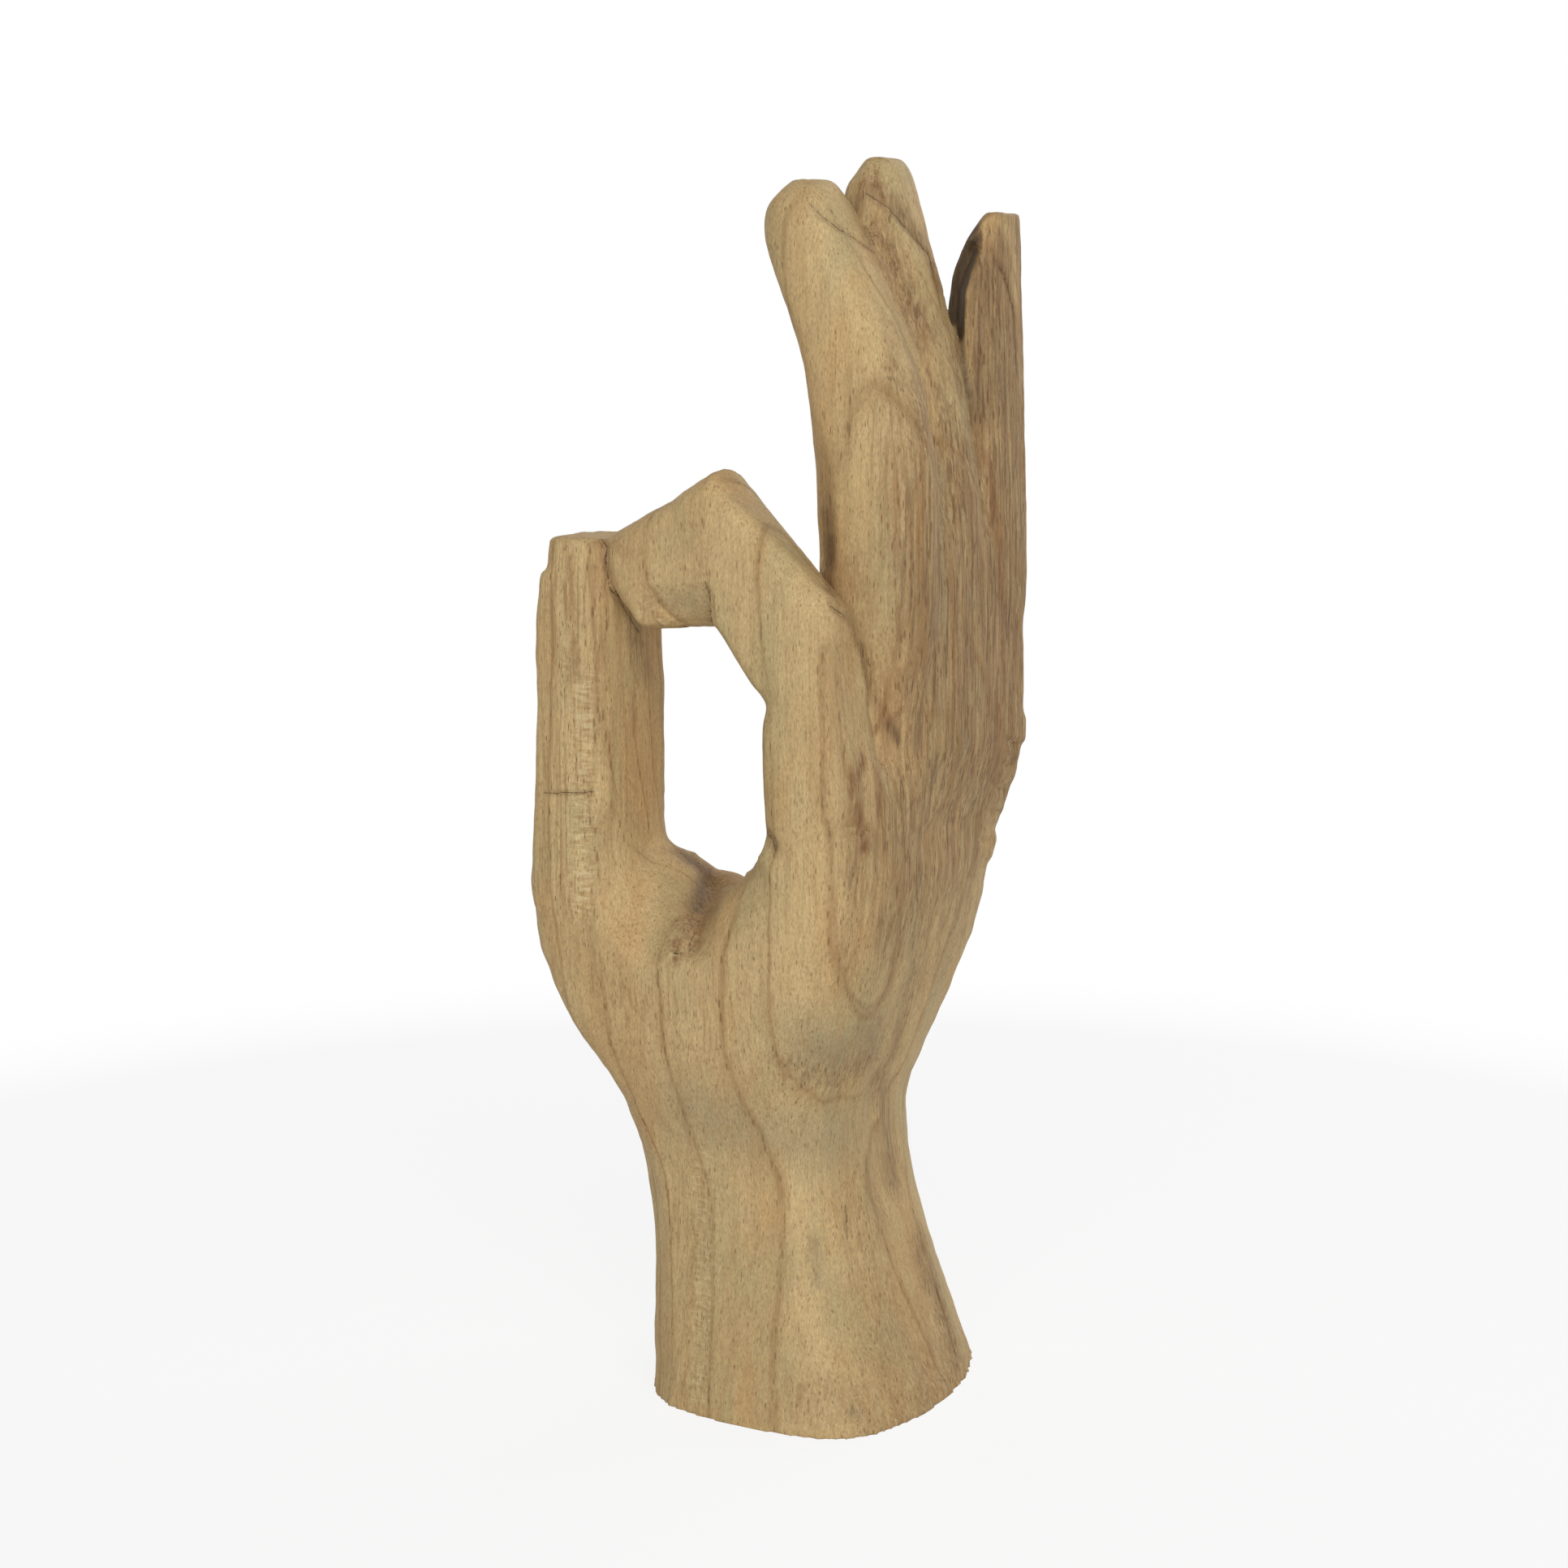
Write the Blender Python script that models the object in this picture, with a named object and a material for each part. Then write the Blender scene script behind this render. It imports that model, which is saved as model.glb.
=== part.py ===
"""Carved wooden hand whose thumb and bent index finger close a ring.

One block of wood: a flared forearm stub that stands on its flat foot, the palm, the
thumb, the index finger whose tip meets the thumb, and three raised fingers.
Metres, +Z up, origin at the centre of the foot. -X is the palm side, +X the back of
the hand, -Y the index side and +Y the little finger side.
"""
import math

import bmesh
import bpy
from mathutils import Vector

MM = 0.001

# Foot and wrist
FOOT_THICKNESS = 67.0 * MM      # palm side to back, along X
FOOT_BREADTH = 78.0 * MM        # index side to little finger side, along Y
FOOT_CENTRE_X = 2.5 * MM
WRIST_HEIGHT = 57.0 * MM
WRIST_THICKNESS = 55.0 * MM
WRIST_BREADTH = 65.0 * MM
WRIST_CENTRE_X = -6.9 * MM
BACK_NEAR_DROP = 3.0 * MM       # how far the forearm's back falls off to the index side
BACK_FAR_DROP = 9.0 * MM       # and to the little finger's side

# Palm
BACK_X = 36.2 * MM              # the sawn face of the block, the back of the hand
PALM_THICKNESS = 27.5 * MM      # at the root of the fingers
WEB_HEIGHT = 125.0 * MM         # skin between thumb and index finger
BACK_START_HEIGHT = 152.0 * MM  # where the sloping back meets the sawn face
THENAR_X = -57.0 * MM           # ball of the thumb, outermost
FINGER_ROOT_HEIGHT = 206.0 * MM

# Thumb
THUMB_THICKNESS = 19.3 * MM     # pad to nail, along X
THUMB_BREADTH = 29.2 * MM       # along Y
THUMB_PAD_X = -30.9 * MM
THUMB_NEAR_Y = -41.0 * MM
THUMB_TIP_HEIGHT = 199.5 * MM
THUMB_NAIL_LENGTH = 7.2 * MM
NAIL_DEPTH = 3.2 * MM           # how far the nail lies below the skin at its root

# Index finger, bent at the knuckle and at the middle joint
KNUCKLE_INNER_HEIGHT = 164.6 * MM
KNUCKLE_OUTER_X = 26.2 * MM
KNUCKLE_OUTER_HEIGHT = 187.2 * MM
BEND_INNER_X = -3.5 * MM
BEND_INNER_HEIGHT = 181.4 * MM
BEND_OUTER_X = -4.8 * MM
BEND_OUTER_HEIGHT = 215.5 * MM
INDEX_TIP_X = -22.3 * MM
INDEX_TIP_HEIGHT = 180.0 * MM
INDEX_NAIL_X = -32.0 * MM
INDEX_NAIL_HEIGHT = 200.5 * MM
INDEX_GAP = 1.8 * MM            # cut that frees the bent finger from the middle one

# Fingers side by side, from the index side of the block
FINGER_BREADTH = 20.3 * MM
FINGERS_NEAR_Y = -40.6 * MM
FINGER_OVERLAP = 0.2 * MM       # neighbours share this much, so that they are one wood
MIDDLE_TIP_HEIGHT = 278.5 * MM
RING_TIP_HEIGHT = 284.0 * MM
LITTLE_TIP_HEIGHT = 273.0 * MM

ARC_POINTS = 5                  # points on each rounded corner
EDGE_POINTS = 3                 # points on each crowned side


def clear_scene():
    """Remove the startup objects."""
    for item in list(bpy.data.objects):
        bpy.data.objects.remove(item, do_unlink=True)


def make_collection(name):
    """A new collection in the scene."""
    collection = bpy.data.collections.new(name)
    bpy.context.scene.collection.children.link(collection)
    return collection


def mix(start, end, share):
    """A value between two others."""
    return start + (end - start) * share


def rounded_polygon(corners, radii, crown):
    """Outline through counter-clockwise corners, each rounded, with crowned sides."""
    arcs = []
    for index, corner in enumerate(corners):
        back = (corners[index - 1] - corner).normalized()
        ahead = (corners[(index + 1) % len(corners)] - corner).normalized()
        half = 0.5 * back.angle(ahead)
        shorter = min((corners[index - 1] - corner).length,
                      (corners[(index + 1) % len(corners)] - corner).length)
        radius = min(radii[index], 0.46 * shorter * math.tan(half))
        centre = corner + (back + ahead).normalized() * (radius / math.sin(half))
        first = math.atan2(back.x, -back.y)
        turn = math.pi - 2.0 * half
        arc = []
        for step in range(ARC_POINTS):
            angle = first + turn * step / (ARC_POINTS - 1)
            arc.append(centre + Vector((math.cos(angle), math.sin(angle))) * radius)
        arcs.append(arc)
    outline = []
    for index, arc in enumerate(arcs):
        following = arcs[(index + 1) % len(arcs)]
        start, end = arc[-1], following[0]
        side = end - start
        outward = Vector((side.y, -side.x)).normalized()
        outline.extend(arc)
        for step in range(1, EDGE_POINTS + 1):
            share = step / (EDGE_POINTS + 1)
            outline.append(start + side * share + outward * (4.0 * crown * share * (1.0 - share)))
    return outline


def smooth_stations(stations, steps):
    """Catmull-Rom curve through the stations, each a tuple of numbers."""
    result = []
    last = len(stations) - 1
    for index in range(last):
        before = stations[max(index - 1, 0)]
        here = stations[index]
        there = stations[index + 1]
        after = stations[min(index + 2, last)]
        for step in range(steps):
            t = step / steps
            values = []
            for a, b, c, d in zip(before, here, there, after):
                square = (2.0 * a - 5.0 * b + 4.0 * c - d) * t * t
                cube = (-a + 3.0 * b - 3.0 * c + d) * t * t * t
                values.append(0.5 * (2.0 * b + (c - a) * t + square + cube))
            result.append(tuple(values))
    result.append(stations[last])
    return result


def loft(name, rings, collection):
    """Closed smooth body through rings of equal count, each ring a list of points."""
    bm = bmesh.new()
    loops = [[bm.verts.new(point) for point in ring] for ring in rings]
    count = len(rings[0])
    for lower, upper in zip(loops, loops[1:]):
        for i in range(count):
            j = (i + 1) % count
            bm.faces.new((lower[i], lower[j], upper[j], upper[i]))
    bm.faces.new(list(reversed(loops[0])))
    bm.faces.new(loops[-1])
    bmesh.ops.recalc_face_normals(bm, faces=bm.faces)
    mesh = bpy.data.meshes.new(name)
    bm.to_mesh(mesh)
    bm.free()
    mesh.shade_smooth()
    mesh.set_sharp_from_angle(angle=math.radians(40.0))
    body = bpy.data.objects.new(name, mesh)
    collection.objects.link(body)
    return body


def level_ring(station):
    """Level section of the forearm and palm, whose back has a near, a middle and a far part.

    Height, the palm side at the near and far edge, the near and far edge, the middle of
    the back with its distance from the near edge, how far the back falls off to the near
    and the far edge, the palm, near back and far back corner radii, and the crown.
    """
    (z, palm_near, palm_far, near, far, back, middle, near_drop, far_drop,
     palm_radius, near_radius, far_radius, crown) = station
    near_drop = min(near_drop, 0.5 * (back - palm_near))
    corners = [Vector((palm_near, near)), Vector((back - near_drop, near)),
               Vector((back, near + middle)), Vector((back - far_drop, far)),
               Vector((palm_far, far))]
    radii = (palm_radius, near_radius, 2.0 * near_radius, far_radius, far_radius)
    return [Vector((p.x, p.y, z)) for p in rounded_polygon(corners, radii, crown)]


def limb_ring(station):
    """Section of a finger, from its palm side to its back, standing on any slope.

    Palm side x, z, back side x, z, near y, far y, palm and back corner radii, crown,
    and how far the back leans on towards the far edge.
    """
    (palm_x, palm_z, back_x, back_z, near, far,
     palm_radius, back_radius, crown, far_lean) = station
    palm = Vector((palm_x, 0.0, palm_z))
    across = Vector((back_x, 0.0, back_z)) - palm
    depth = across.length
    across.normalize()
    corners = [Vector((0.0, near)), Vector((depth, near)),
               Vector((depth + far_lean, far)), Vector((0.0, far))]
    radii = (palm_radius, back_radius, back_radius, palm_radius)
    outline = rounded_polygon(corners, radii, crown)
    return [palm + across * p.x + Vector((0.0, p.y, 0.0)) for p in outline]


def trunk(collection):
    """Foot, wrist, ball of the thumb and the palm up to the roots of the raised fingers."""
    foot_palm = FOOT_CENTRE_X - 0.5 * FOOT_THICKNESS
    foot_back = FOOT_CENTRE_X + 0.5 * FOOT_THICKNESS
    wrist_palm = WRIST_CENTRE_X - 0.5 * WRIST_THICKNESS
    wrist_back = WRIST_CENTRE_X + 0.5 * WRIST_THICKNESS
    foot_edge = 0.5 * FOOT_BREADTH
    wrist_edge = 0.5 * WRIST_BREADTH
    near = FINGERS_NEAR_Y
    middle_near = FINGERS_NEAR_Y + FINGER_BREADTH
    far = FINGERS_NEAR_Y + 4.0 * FINGER_BREADTH
    palm = BACK_X - PALM_THICKNESS
    rise = WEB_HEIGHT - WRIST_HEIGHT
    crease = mix(WEB_HEIGHT, BACK_START_HEIGHT, 0.33)
    knuckles = mix(WEB_HEIGHT, BACK_START_HEIGHT, 0.67)

    def forearm(height, share_palm, share_back, share_edge, palm_radius, near_radius,
                far_radius):
        side = mix(foot_palm, wrist_palm, share_palm)
        edge = mix(foot_edge, wrist_edge, share_edge)
        return (height * WRIST_HEIGHT, side, side, -edge, edge,
                mix(foot_back, wrist_back, share_back), edge,
                BACK_NEAR_DROP, BACK_FAR_DROP,
                palm_radius, near_radius, far_radius, 1.0 * MM)

    def heel(height, share_thenar, share_palm, share_back, share_edge, radius, near_radius):
        return (WRIST_HEIGHT + height * rise, mix(wrist_palm, THENAR_X, share_thenar),
                mix(wrist_palm, palm, share_palm), mix(-wrist_edge, near, share_edge),
                mix(wrist_edge, far, share_edge), mix(wrist_back, BACK_X, share_back),
                mix(wrist_edge, FINGER_BREADTH, share_back),
                mix(BACK_NEAR_DROP, 7.0 * MM, share_back),
                mix(BACK_FAR_DROP, 0.0, share_back),
                0.6 * radius, near_radius, radius, 1.0 * MM)

    def palm_level(z, inset, near_y, back_inset):
        return (z, palm + inset, palm + inset, near_y, far - 0.5 * max(inset, 0.0),
                BACK_X - back_inset, FINGER_BREADTH, 8.0 * MM - back_inset, 0.0,
                5.0 * MM, 9.0 * MM, 4.0 * MM, 0.0)

    stations = [
        forearm(0.0, 0.0, 0.0, 0.0, 22.0 * MM, 18.0 * MM, 30.0 * MM),
        forearm(0.35, 0.0, 0.46, 0.5, 20.0 * MM, 17.0 * MM, 23.0 * MM),
        forearm(0.67, 0.20, 0.77, 0.88, 18.0 * MM, 16.0 * MM, 20.0 * MM),
        forearm(0.85, 0.70, 0.9, 1.04, 17.0 * MM, 16.0 * MM, 18.0 * MM),
        forearm(1.0, 1.0, 1.0, 1.0, 16.0 * MM, 16.0 * MM, 17.0 * MM),
        heel(0.19, 0.03, 0.02, -0.04, 0.28, 15.0 * MM, 16.0 * MM),
        heel(0.44, 0.56, 0.12, 0.24, 0.68, 13.0 * MM, 16.0 * MM),
        heel(0.69, 1.04, 0.32, 0.52, 0.92, 12.0 * MM, 15.0 * MM),
        heel(0.85, 1.00, 0.50, 0.65, 0.99, 10.0 * MM, 13.0 * MM),
        heel(1.0, 0.66, 0.70, 0.74, 0.98, 9.0 * MM, 11.0 * MM),
        palm_level(crease, -4.0 * MM, mix(near, middle_near, 0.06), 4.4 * MM),
        palm_level(knuckles, 0.6 * MM, mix(near, middle_near, 0.4), 2.0 * MM),
        palm_level(BACK_START_HEIGHT, 1.5 * MM, mix(near, middle_near, 0.95), 0.3 * MM),
        palm_level(FINGER_ROOT_HEIGHT - 16.0 * MM, 2.6 * MM, middle_near + 0.8 * MM, 0.6 * MM),
        palm_level(FINGER_ROOT_HEIGHT - 2.0 * MM, 6.5 * MM, middle_near + 3.0 * MM, 2.4 * MM),
        palm_level(FINGER_ROOT_HEIGHT + 8.0 * MM, 9.0 * MM, middle_near + 6.0 * MM, 5.0 * MM),
    ]
    rings = [level_ring(station) for station in smooth_stations(stations, 2)]
    return loft("carved_hand", rings, collection)


def thumb(collection):
    """Upright thumb, its pad turned to the index finger."""
    pad, nail = THUMB_PAD_X, THUMB_PAD_X - THUMB_THICKNESS
    near, far = THUMB_NEAR_Y, THUMB_NEAR_Y + THUMB_BREADTH
    tip = THUMB_TIP_HEIGHT

    def across(z, nail_shift, pad_shift, narrower, radius):
        return (nail + nail_shift, z, pad + pad_shift, z, near + narrower, far - narrower,
                0.6 * radius, radius, 0.6 * MM, 0.0)

    stations = [
        across(WEB_HEIGHT - 26.0 * MM, 2.0 * MM, 4.0 * MM, 2.5 * MM, 6.0 * MM),
        across(WEB_HEIGHT - 10.0 * MM, -1.8 * MM, 2.0 * MM, 0.3 * MM, 6.0 * MM),
        across(WEB_HEIGHT + 2.0 * MM, -2.4 * MM, 0.5 * MM, 0.0, 6.0 * MM),
        across(mix(WEB_HEIGHT, tip, 0.25), -1.2 * MM, 0.0, 0.0, 5.5 * MM),
        across(mix(WEB_HEIGHT, tip, 0.6), 0.0, 0.0, 0.0, 5.0 * MM),
        across(tip - 10.0 * MM, 0.5 * MM, -0.3 * MM, 0.2 * MM, 5.0 * MM),
        across(tip - 1.5 * MM, 1.0 * MM, -1.0 * MM, 0.8 * MM, 4.5 * MM),
        across(tip, 1.8 * MM, -2.0 * MM, 1.8 * MM, 4.0 * MM),
    ]
    rings = [limb_ring(station) for station in smooth_stations(stations, 2)]
    return loft("thumb_form", rings, collection)


def index_finger(collection):
    """Index finger in three straight lengths, bent at two joints down to the thumb."""
    near = FINGERS_NEAR_Y
    far = FINGERS_NEAR_Y + FINGER_BREADTH
    palm = BACK_X - PALM_THICKNESS

    def across(palm_x, palm_z, back_x, back_z, near_inset, far_inset, radius, far_lean):
        return (palm_x, palm_z, back_x, back_z, near + near_inset, far - far_inset,
                0.8 * radius, radius, 0.4 * MM, far_lean)

    web = WEB_HEIGHT
    root = web - 31.0 * MM
    length = mix(web, KNUCKLE_INNER_HEIGHT, 0.55)
    stations = [
        across(palm - 5.0 * MM, root, palm + 6.0 * MM, root,
               6.5 * MM, 6.5 * MM, 3.5 * MM, 0.0),
        across(palm - 1.0 * MM, web - 14.0 * MM, palm + 14.0 * MM, web - 14.0 * MM,
               1.2 * MM, 4.5 * MM, 11.0 * MM, 1.0 * MM),
        across(palm + 0.3 * MM, web + 3.0 * MM, BACK_X - 10.5 * MM, web + 3.0 * MM,
               0.2 * MM, 0.0, 10.0 * MM, 5.0 * MM),
        across(palm, length, BACK_X - 8.6 * MM, length,
               0.0, 0.0, 5.5 * MM, 7.0 * MM),
        across(palm, KNUCKLE_INNER_HEIGHT, KNUCKLE_OUTER_X, KNUCKLE_OUTER_HEIGHT,
               0.0, INDEX_GAP, 5.5 * MM, -4.0 * MM),
        across(BEND_INNER_X, BEND_INNER_HEIGHT, BEND_OUTER_X, BEND_OUTER_HEIGHT,
               0.5 * MM, INDEX_GAP, 5.0 * MM, -1.0 * MM),
        across(INDEX_TIP_X, INDEX_TIP_HEIGHT, INDEX_NAIL_X, INDEX_NAIL_HEIGHT,
               1.0 * MM, INDEX_GAP, 5.0 * MM, 0.0),
        across(INDEX_TIP_X - 5.7 * MM, INDEX_TIP_HEIGHT + 5.0 * MM,
               INDEX_NAIL_X - 3.0 * MM, INDEX_NAIL_HEIGHT - 2.5 * MM,
               3.0 * MM, 3.0 * MM, 4.5 * MM, 0.0),
    ]
    return loft("index_form", [limb_ring(station) for station in stations], collection)


def thumb_nail(collection):
    """Cutter for the step at the root of the thumb nail."""
    nail_x = THUMB_PAD_X - THUMB_THICKNESS + NAIL_DEPTH
    reach = 30.0 * MM
    centre = Vector((nail_x - 0.5 * reach, THUMB_NEAR_Y + 0.5 * THUMB_BREADTH,
                     THUMB_TIP_HEIGHT - THUMB_NAIL_LENGTH + 0.5 * reach))
    bm = bmesh.new()
    bmesh.ops.create_cube(bm, size=1.0)
    bmesh.ops.scale(bm, vec=(reach, 2.0 * reach, reach), verts=bm.verts)
    mesh = bpy.data.meshes.new("thumb_nail_step")
    bm.to_mesh(mesh)
    bm.free()
    cutter = bpy.data.objects.new("thumb_nail_step", mesh)
    cutter.location = centre
    collection.objects.link(cutter)
    return cutter


def raised_finger(name, place, stations, collection):
    """Raised finger from sections across it, in the given place counted from the index.

    Each section gives its height, the palm side's x, the back's x, how much higher the
    back lies, how much each side is narrower, and the palm and back corner radii.
    """
    near = FINGERS_NEAR_Y + place * FINGER_BREADTH - 0.5 * FINGER_OVERLAP
    far = near + FINGER_BREADTH + FINGER_OVERLAP
    full = []
    for z, palm_x, back_x, lift, narrower, palm_radius, back_radius in stations:
        full.append((palm_x, z, back_x, z + lift, near + narrower, far - narrower,
                     palm_radius, back_radius, 0.4 * MM, 0.0))
    rings = [limb_ring(station) for station in smooth_stations(full, 3)]
    return loft(name, rings, collection)


def middle_finger(collection):
    """Middle finger, curving to the palm side towards its tip."""
    tip = MIDDLE_TIP_HEIGHT
    stations = [
        (BACK_START_HEIGHT + 3.5 * MM, 13.6 * MM, 31.6 * MM, 0.0, 1.5 * MM, 5.0 * MM, 8.0 * MM),
        (tip - 98.0 * MM, 11.2 * MM, 35.0 * MM, 0.0, 0.2 * MM, 5.0 * MM, 8.5 * MM),
        (tip - 83.0 * MM, 10.6 * MM, 35.6 * MM, 0.0, 0.0, 5.0 * MM, 9.0 * MM),
        (tip - 60.0 * MM, 9.4 * MM, 34.6 * MM, 0.0, 0.0, 5.0 * MM, 9.0 * MM),
        (tip - 40.0 * MM, 6.4 * MM, 28.5 * MM, 1.0 * MM, 0.0, 5.0 * MM, 8.5 * MM),
        (tip - 27.0 * MM, 1.8 * MM, 22.0 * MM, 2.0 * MM, 0.0, 5.0 * MM, 7.0 * MM),
        (tip - 14.0 * MM, -3.2 * MM, 15.0 * MM, 3.0 * MM, 0.2 * MM, 5.0 * MM, 5.5 * MM),
        (tip - 7.0 * MM, -3.6 * MM, 12.0 * MM, 2.6 * MM, 1.2 * MM, 5.0 * MM, 5.0 * MM),
        (tip - 2.6 * MM, -0.6 * MM, 9.8 * MM, 1.2 * MM, 3.0 * MM, 4.0 * MM, 4.0 * MM),
        (tip - 0.2 * MM, 1.6 * MM, 7.8 * MM, 0.2 * MM, 5.2 * MM, 3.0 * MM, 3.0 * MM),
    ]
    return raised_finger("middle_form", 1, stations, collection)


def ring_finger(collection):
    """Ring finger, a little straighter than the middle one."""
    tip = RING_TIP_HEIGHT
    stations = [
        (BACK_START_HEIGHT + 4.0 * MM, 13.2 * MM, 32.8 * MM, 0.0, 1.0 * MM, 5.0 * MM, 6.0 * MM),
        (tip - 100.0 * MM, 11.0 * MM, 35.0 * MM, 0.0, 0.1 * MM, 5.0 * MM, 7.0 * MM),
        (tip - 80.0 * MM, 12.0 * MM, 35.2 * MM, 0.0, 0.0, 5.0 * MM, 7.0 * MM),
        (tip - 65.0 * MM, 12.0 * MM, 33.0 * MM, 0.0, 0.0, 5.0 * MM, 7.0 * MM),
        (tip - 48.0 * MM, 10.5 * MM, 29.5 * MM, 0.5 * MM, 0.0, 5.0 * MM, 6.0 * MM),
        (tip - 34.0 * MM, 8.0 * MM, 25.6 * MM, 1.0 * MM, 0.0, 5.0 * MM, 6.0 * MM),
        (tip - 20.0 * MM, 5.6 * MM, 20.6 * MM, 2.0 * MM, 0.2 * MM, 5.0 * MM, 5.5 * MM),
        (tip - 9.0 * MM, 5.6 * MM, 18.4 * MM, 2.0 * MM, 1.0 * MM, 5.0 * MM, 5.0 * MM),
        (tip - 3.0 * MM, 7.8 * MM, 16.4 * MM, 1.0 * MM, 3.0 * MM, 4.0 * MM, 4.0 * MM),
        (tip - 0.4 * MM, 9.4 * MM, 13.8 * MM, 0.4 * MM, 5.2 * MM, 2.2 * MM, 2.2 * MM),
    ]
    return raised_finger("ring_form", 2, stations, collection)


def little_finger(collection):
    """Little finger, straight up along the sawn face of the block."""
    tip = LITTLE_TIP_HEIGHT
    stations = [
        (BACK_START_HEIGHT + 4.5 * MM, 13.4 * MM, 33.0 * MM, 0.0, 1.0 * MM, 5.0 * MM, 4.0 * MM),
        (tip - 88.0 * MM, 12.0 * MM, 35.8 * MM, 0.0, 0.0, 5.0 * MM, 4.0 * MM),
        (tip - 50.0 * MM, 17.5 * MM, 34.9 * MM, 0.0, 0.0, 5.0 * MM, 4.0 * MM),
        (tip - 30.0 * MM, 20.2 * MM, 34.2 * MM, 0.0, 0.0, 5.0 * MM, 4.0 * MM),
        (tip - 16.0 * MM, 22.2 * MM, 33.8 * MM, 0.0, 0.2 * MM, 5.0 * MM, 4.0 * MM),
        (tip - 7.0 * MM, 25.8 * MM, 33.7 * MM, 0.0, 1.6 * MM, 3.5 * MM, 3.0 * MM),
        (tip - 1.0 * MM, 30.4 * MM, 33.7 * MM, 0.0, 3.8 * MM, 1.6 * MM, 1.6 * MM),
    ]
    return raised_finger("little_form", 3, stations, collection)


def ring_space(collection):
    """Cutter for the way between thumb and index finger, sloping down to the near side.

    Its sections stand square to Y. Each gives y, the thumb side's x and lowest z, the x and
    z of the lowest point, the index side's lowest z, and the three lower corner radii.
    """
    web, pad = WEB_HEIGHT, THUMB_PAD_X
    top = KNUCKLE_INNER_HEIGHT + 2.4 * MM
    index_side = BACK_X - PALM_THICKNESS + 0.7 * MM
    stations = [
        (-60.0 * MM, pad - 5.0 * MM, web - 26.0 * MM, -30.0 * MM, web - 55.0 * MM,
         web + 6.0 * MM, 3.0 * MM, 3.0 * MM, 4.0 * MM),
        (-47.0 * MM, pad - 5.5 * MM, web - 17.0 * MM, -24.0 * MM, web - 35.0 * MM,
         web + 7.0 * MM, 4.0 * MM, 3.0 * MM, 6.0 * MM),
        (-40.5 * MM, pad - 5.5 * MM, web - 9.0 * MM, -20.0 * MM, web - 22.0 * MM,
         web + 8.5 * MM, 5.0 * MM, 4.0 * MM, 8.0 * MM),
        (-35.0 * MM, pad - 2.0 * MM, web - 3.0 * MM, -15.5 * MM, web - 15.0 * MM,
         web + 10.0 * MM, 6.0 * MM, 5.0 * MM, 10.0 * MM),
        (-29.0 * MM, pad, web + 2.0 * MM, -11.0 * MM, web - 11.0 * MM,
         web + 11.0 * MM, 8.0 * MM, 7.0 * MM, 11.0 * MM),
        (-21.0 * MM, pad, web + 6.0 * MM, -8.0 * MM, web - 12.0 * MM,
         web + 10.0 * MM, 12.0 * MM, 9.0 * MM, 11.0 * MM),
        (-12.0 * MM, pad - 1.0 * MM, web + 6.5 * MM, -6.0 * MM, web - 12.0 * MM,
         web + 10.0 * MM, 12.0 * MM, 12.0 * MM, 11.0 * MM),
        (0.0, pad - 16.0 * MM, web + 4.0 * MM, -6.0 * MM, web - 11.0 * MM,
         web + 10.0 * MM, 9.0 * MM, 14.0 * MM, 11.0 * MM),
        (16.0 * MM, pad - 40.0 * MM, web + 2.0 * MM, -13.0 * MM, web - 18.0 * MM,
         web + 8.0 * MM, 10.0 * MM, 16.0 * MM, 11.0 * MM),
        (50.0 * MM, pad - 58.0 * MM, web, -28.0 * MM, web - 39.0 * MM,
         web + 4.0 * MM, 10.0 * MM, 16.0 * MM, 11.0 * MM),
    ]
    rings = []
    for station in smooth_stations(stations, 3):
        y, left, left_z, low_x, low_z, right_z, left_radius, low_radius, right_radius = station
        corners = [Vector((left, top)), Vector((left, left_z)), Vector((low_x, low_z)),
                   Vector((index_side, right_z)), Vector((index_side, top))]
        radii = (0.5 * MM, left_radius, low_radius, right_radius, 0.5 * MM)
        outline = rounded_polygon(corners, radii, 0.0)
        rings.append([Vector((p.x, y, p.y)) for p in outline])
    return loft("ring_space", rings, collection)


def join(body, form, operation):
    """Boolean the form into or out of the body and keep it as a wire guide."""
    modifier = body.modifiers.new(form.name, "BOOLEAN")
    modifier.operation = operation
    modifier.solver = "EXACT"
    modifier.object = form
    form.hide_render = True
    form.display_type = "WIRE"


def wood():
    """Pale sanded hardwood."""
    material = bpy.data.materials.new("pale_hardwood")
    material.use_nodes = True
    shader = material.node_tree.nodes["Principled BSDF"]
    shader.inputs["Base Color"].default_value = (0.52, 0.36, 0.20, 1.0)
    shader.inputs["Roughness"].default_value = 0.7
    shader.inputs["Metallic"].default_value = 0.0
    return material


def build():
    """Model the hand as one carved body."""
    clear_scene()
    sculpture = make_collection("hand_gesture_sculpture")
    guides = make_collection("forms_and_cutters")
    hand = trunk(sculpture)
    join(hand, ring_space(guides), "DIFFERENCE")
    for form in (thumb, index_finger, middle_finger, ring_finger, little_finger):
        join(hand, form(guides), "UNION")
    join(hand, thumb_nail(guides), "DIFFERENCE")
    hand.data.materials.append(wood())


build()
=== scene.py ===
"""A right hand carved from one block of pale hardwood, thumb and index finger closed into a ring.

The carved block of the CAD is covered with a fine skin of the same shape, and the knife's creases,
nicks and steps are cut into that skin where the photograph shows them. Lengths are in millimetres
where no comment says metres, and become metres when they are handed to Blender. Places on the wood
are given by the pixel of the photograph (1932 by 1932) that shows them, and the photograph's own
camera finds the wood behind that pixel.
"""
import math
from collections import namedtuple
import bpy
import numpy as np
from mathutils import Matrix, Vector, noise
from mathutils.bvhtree import BVHTree


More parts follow.
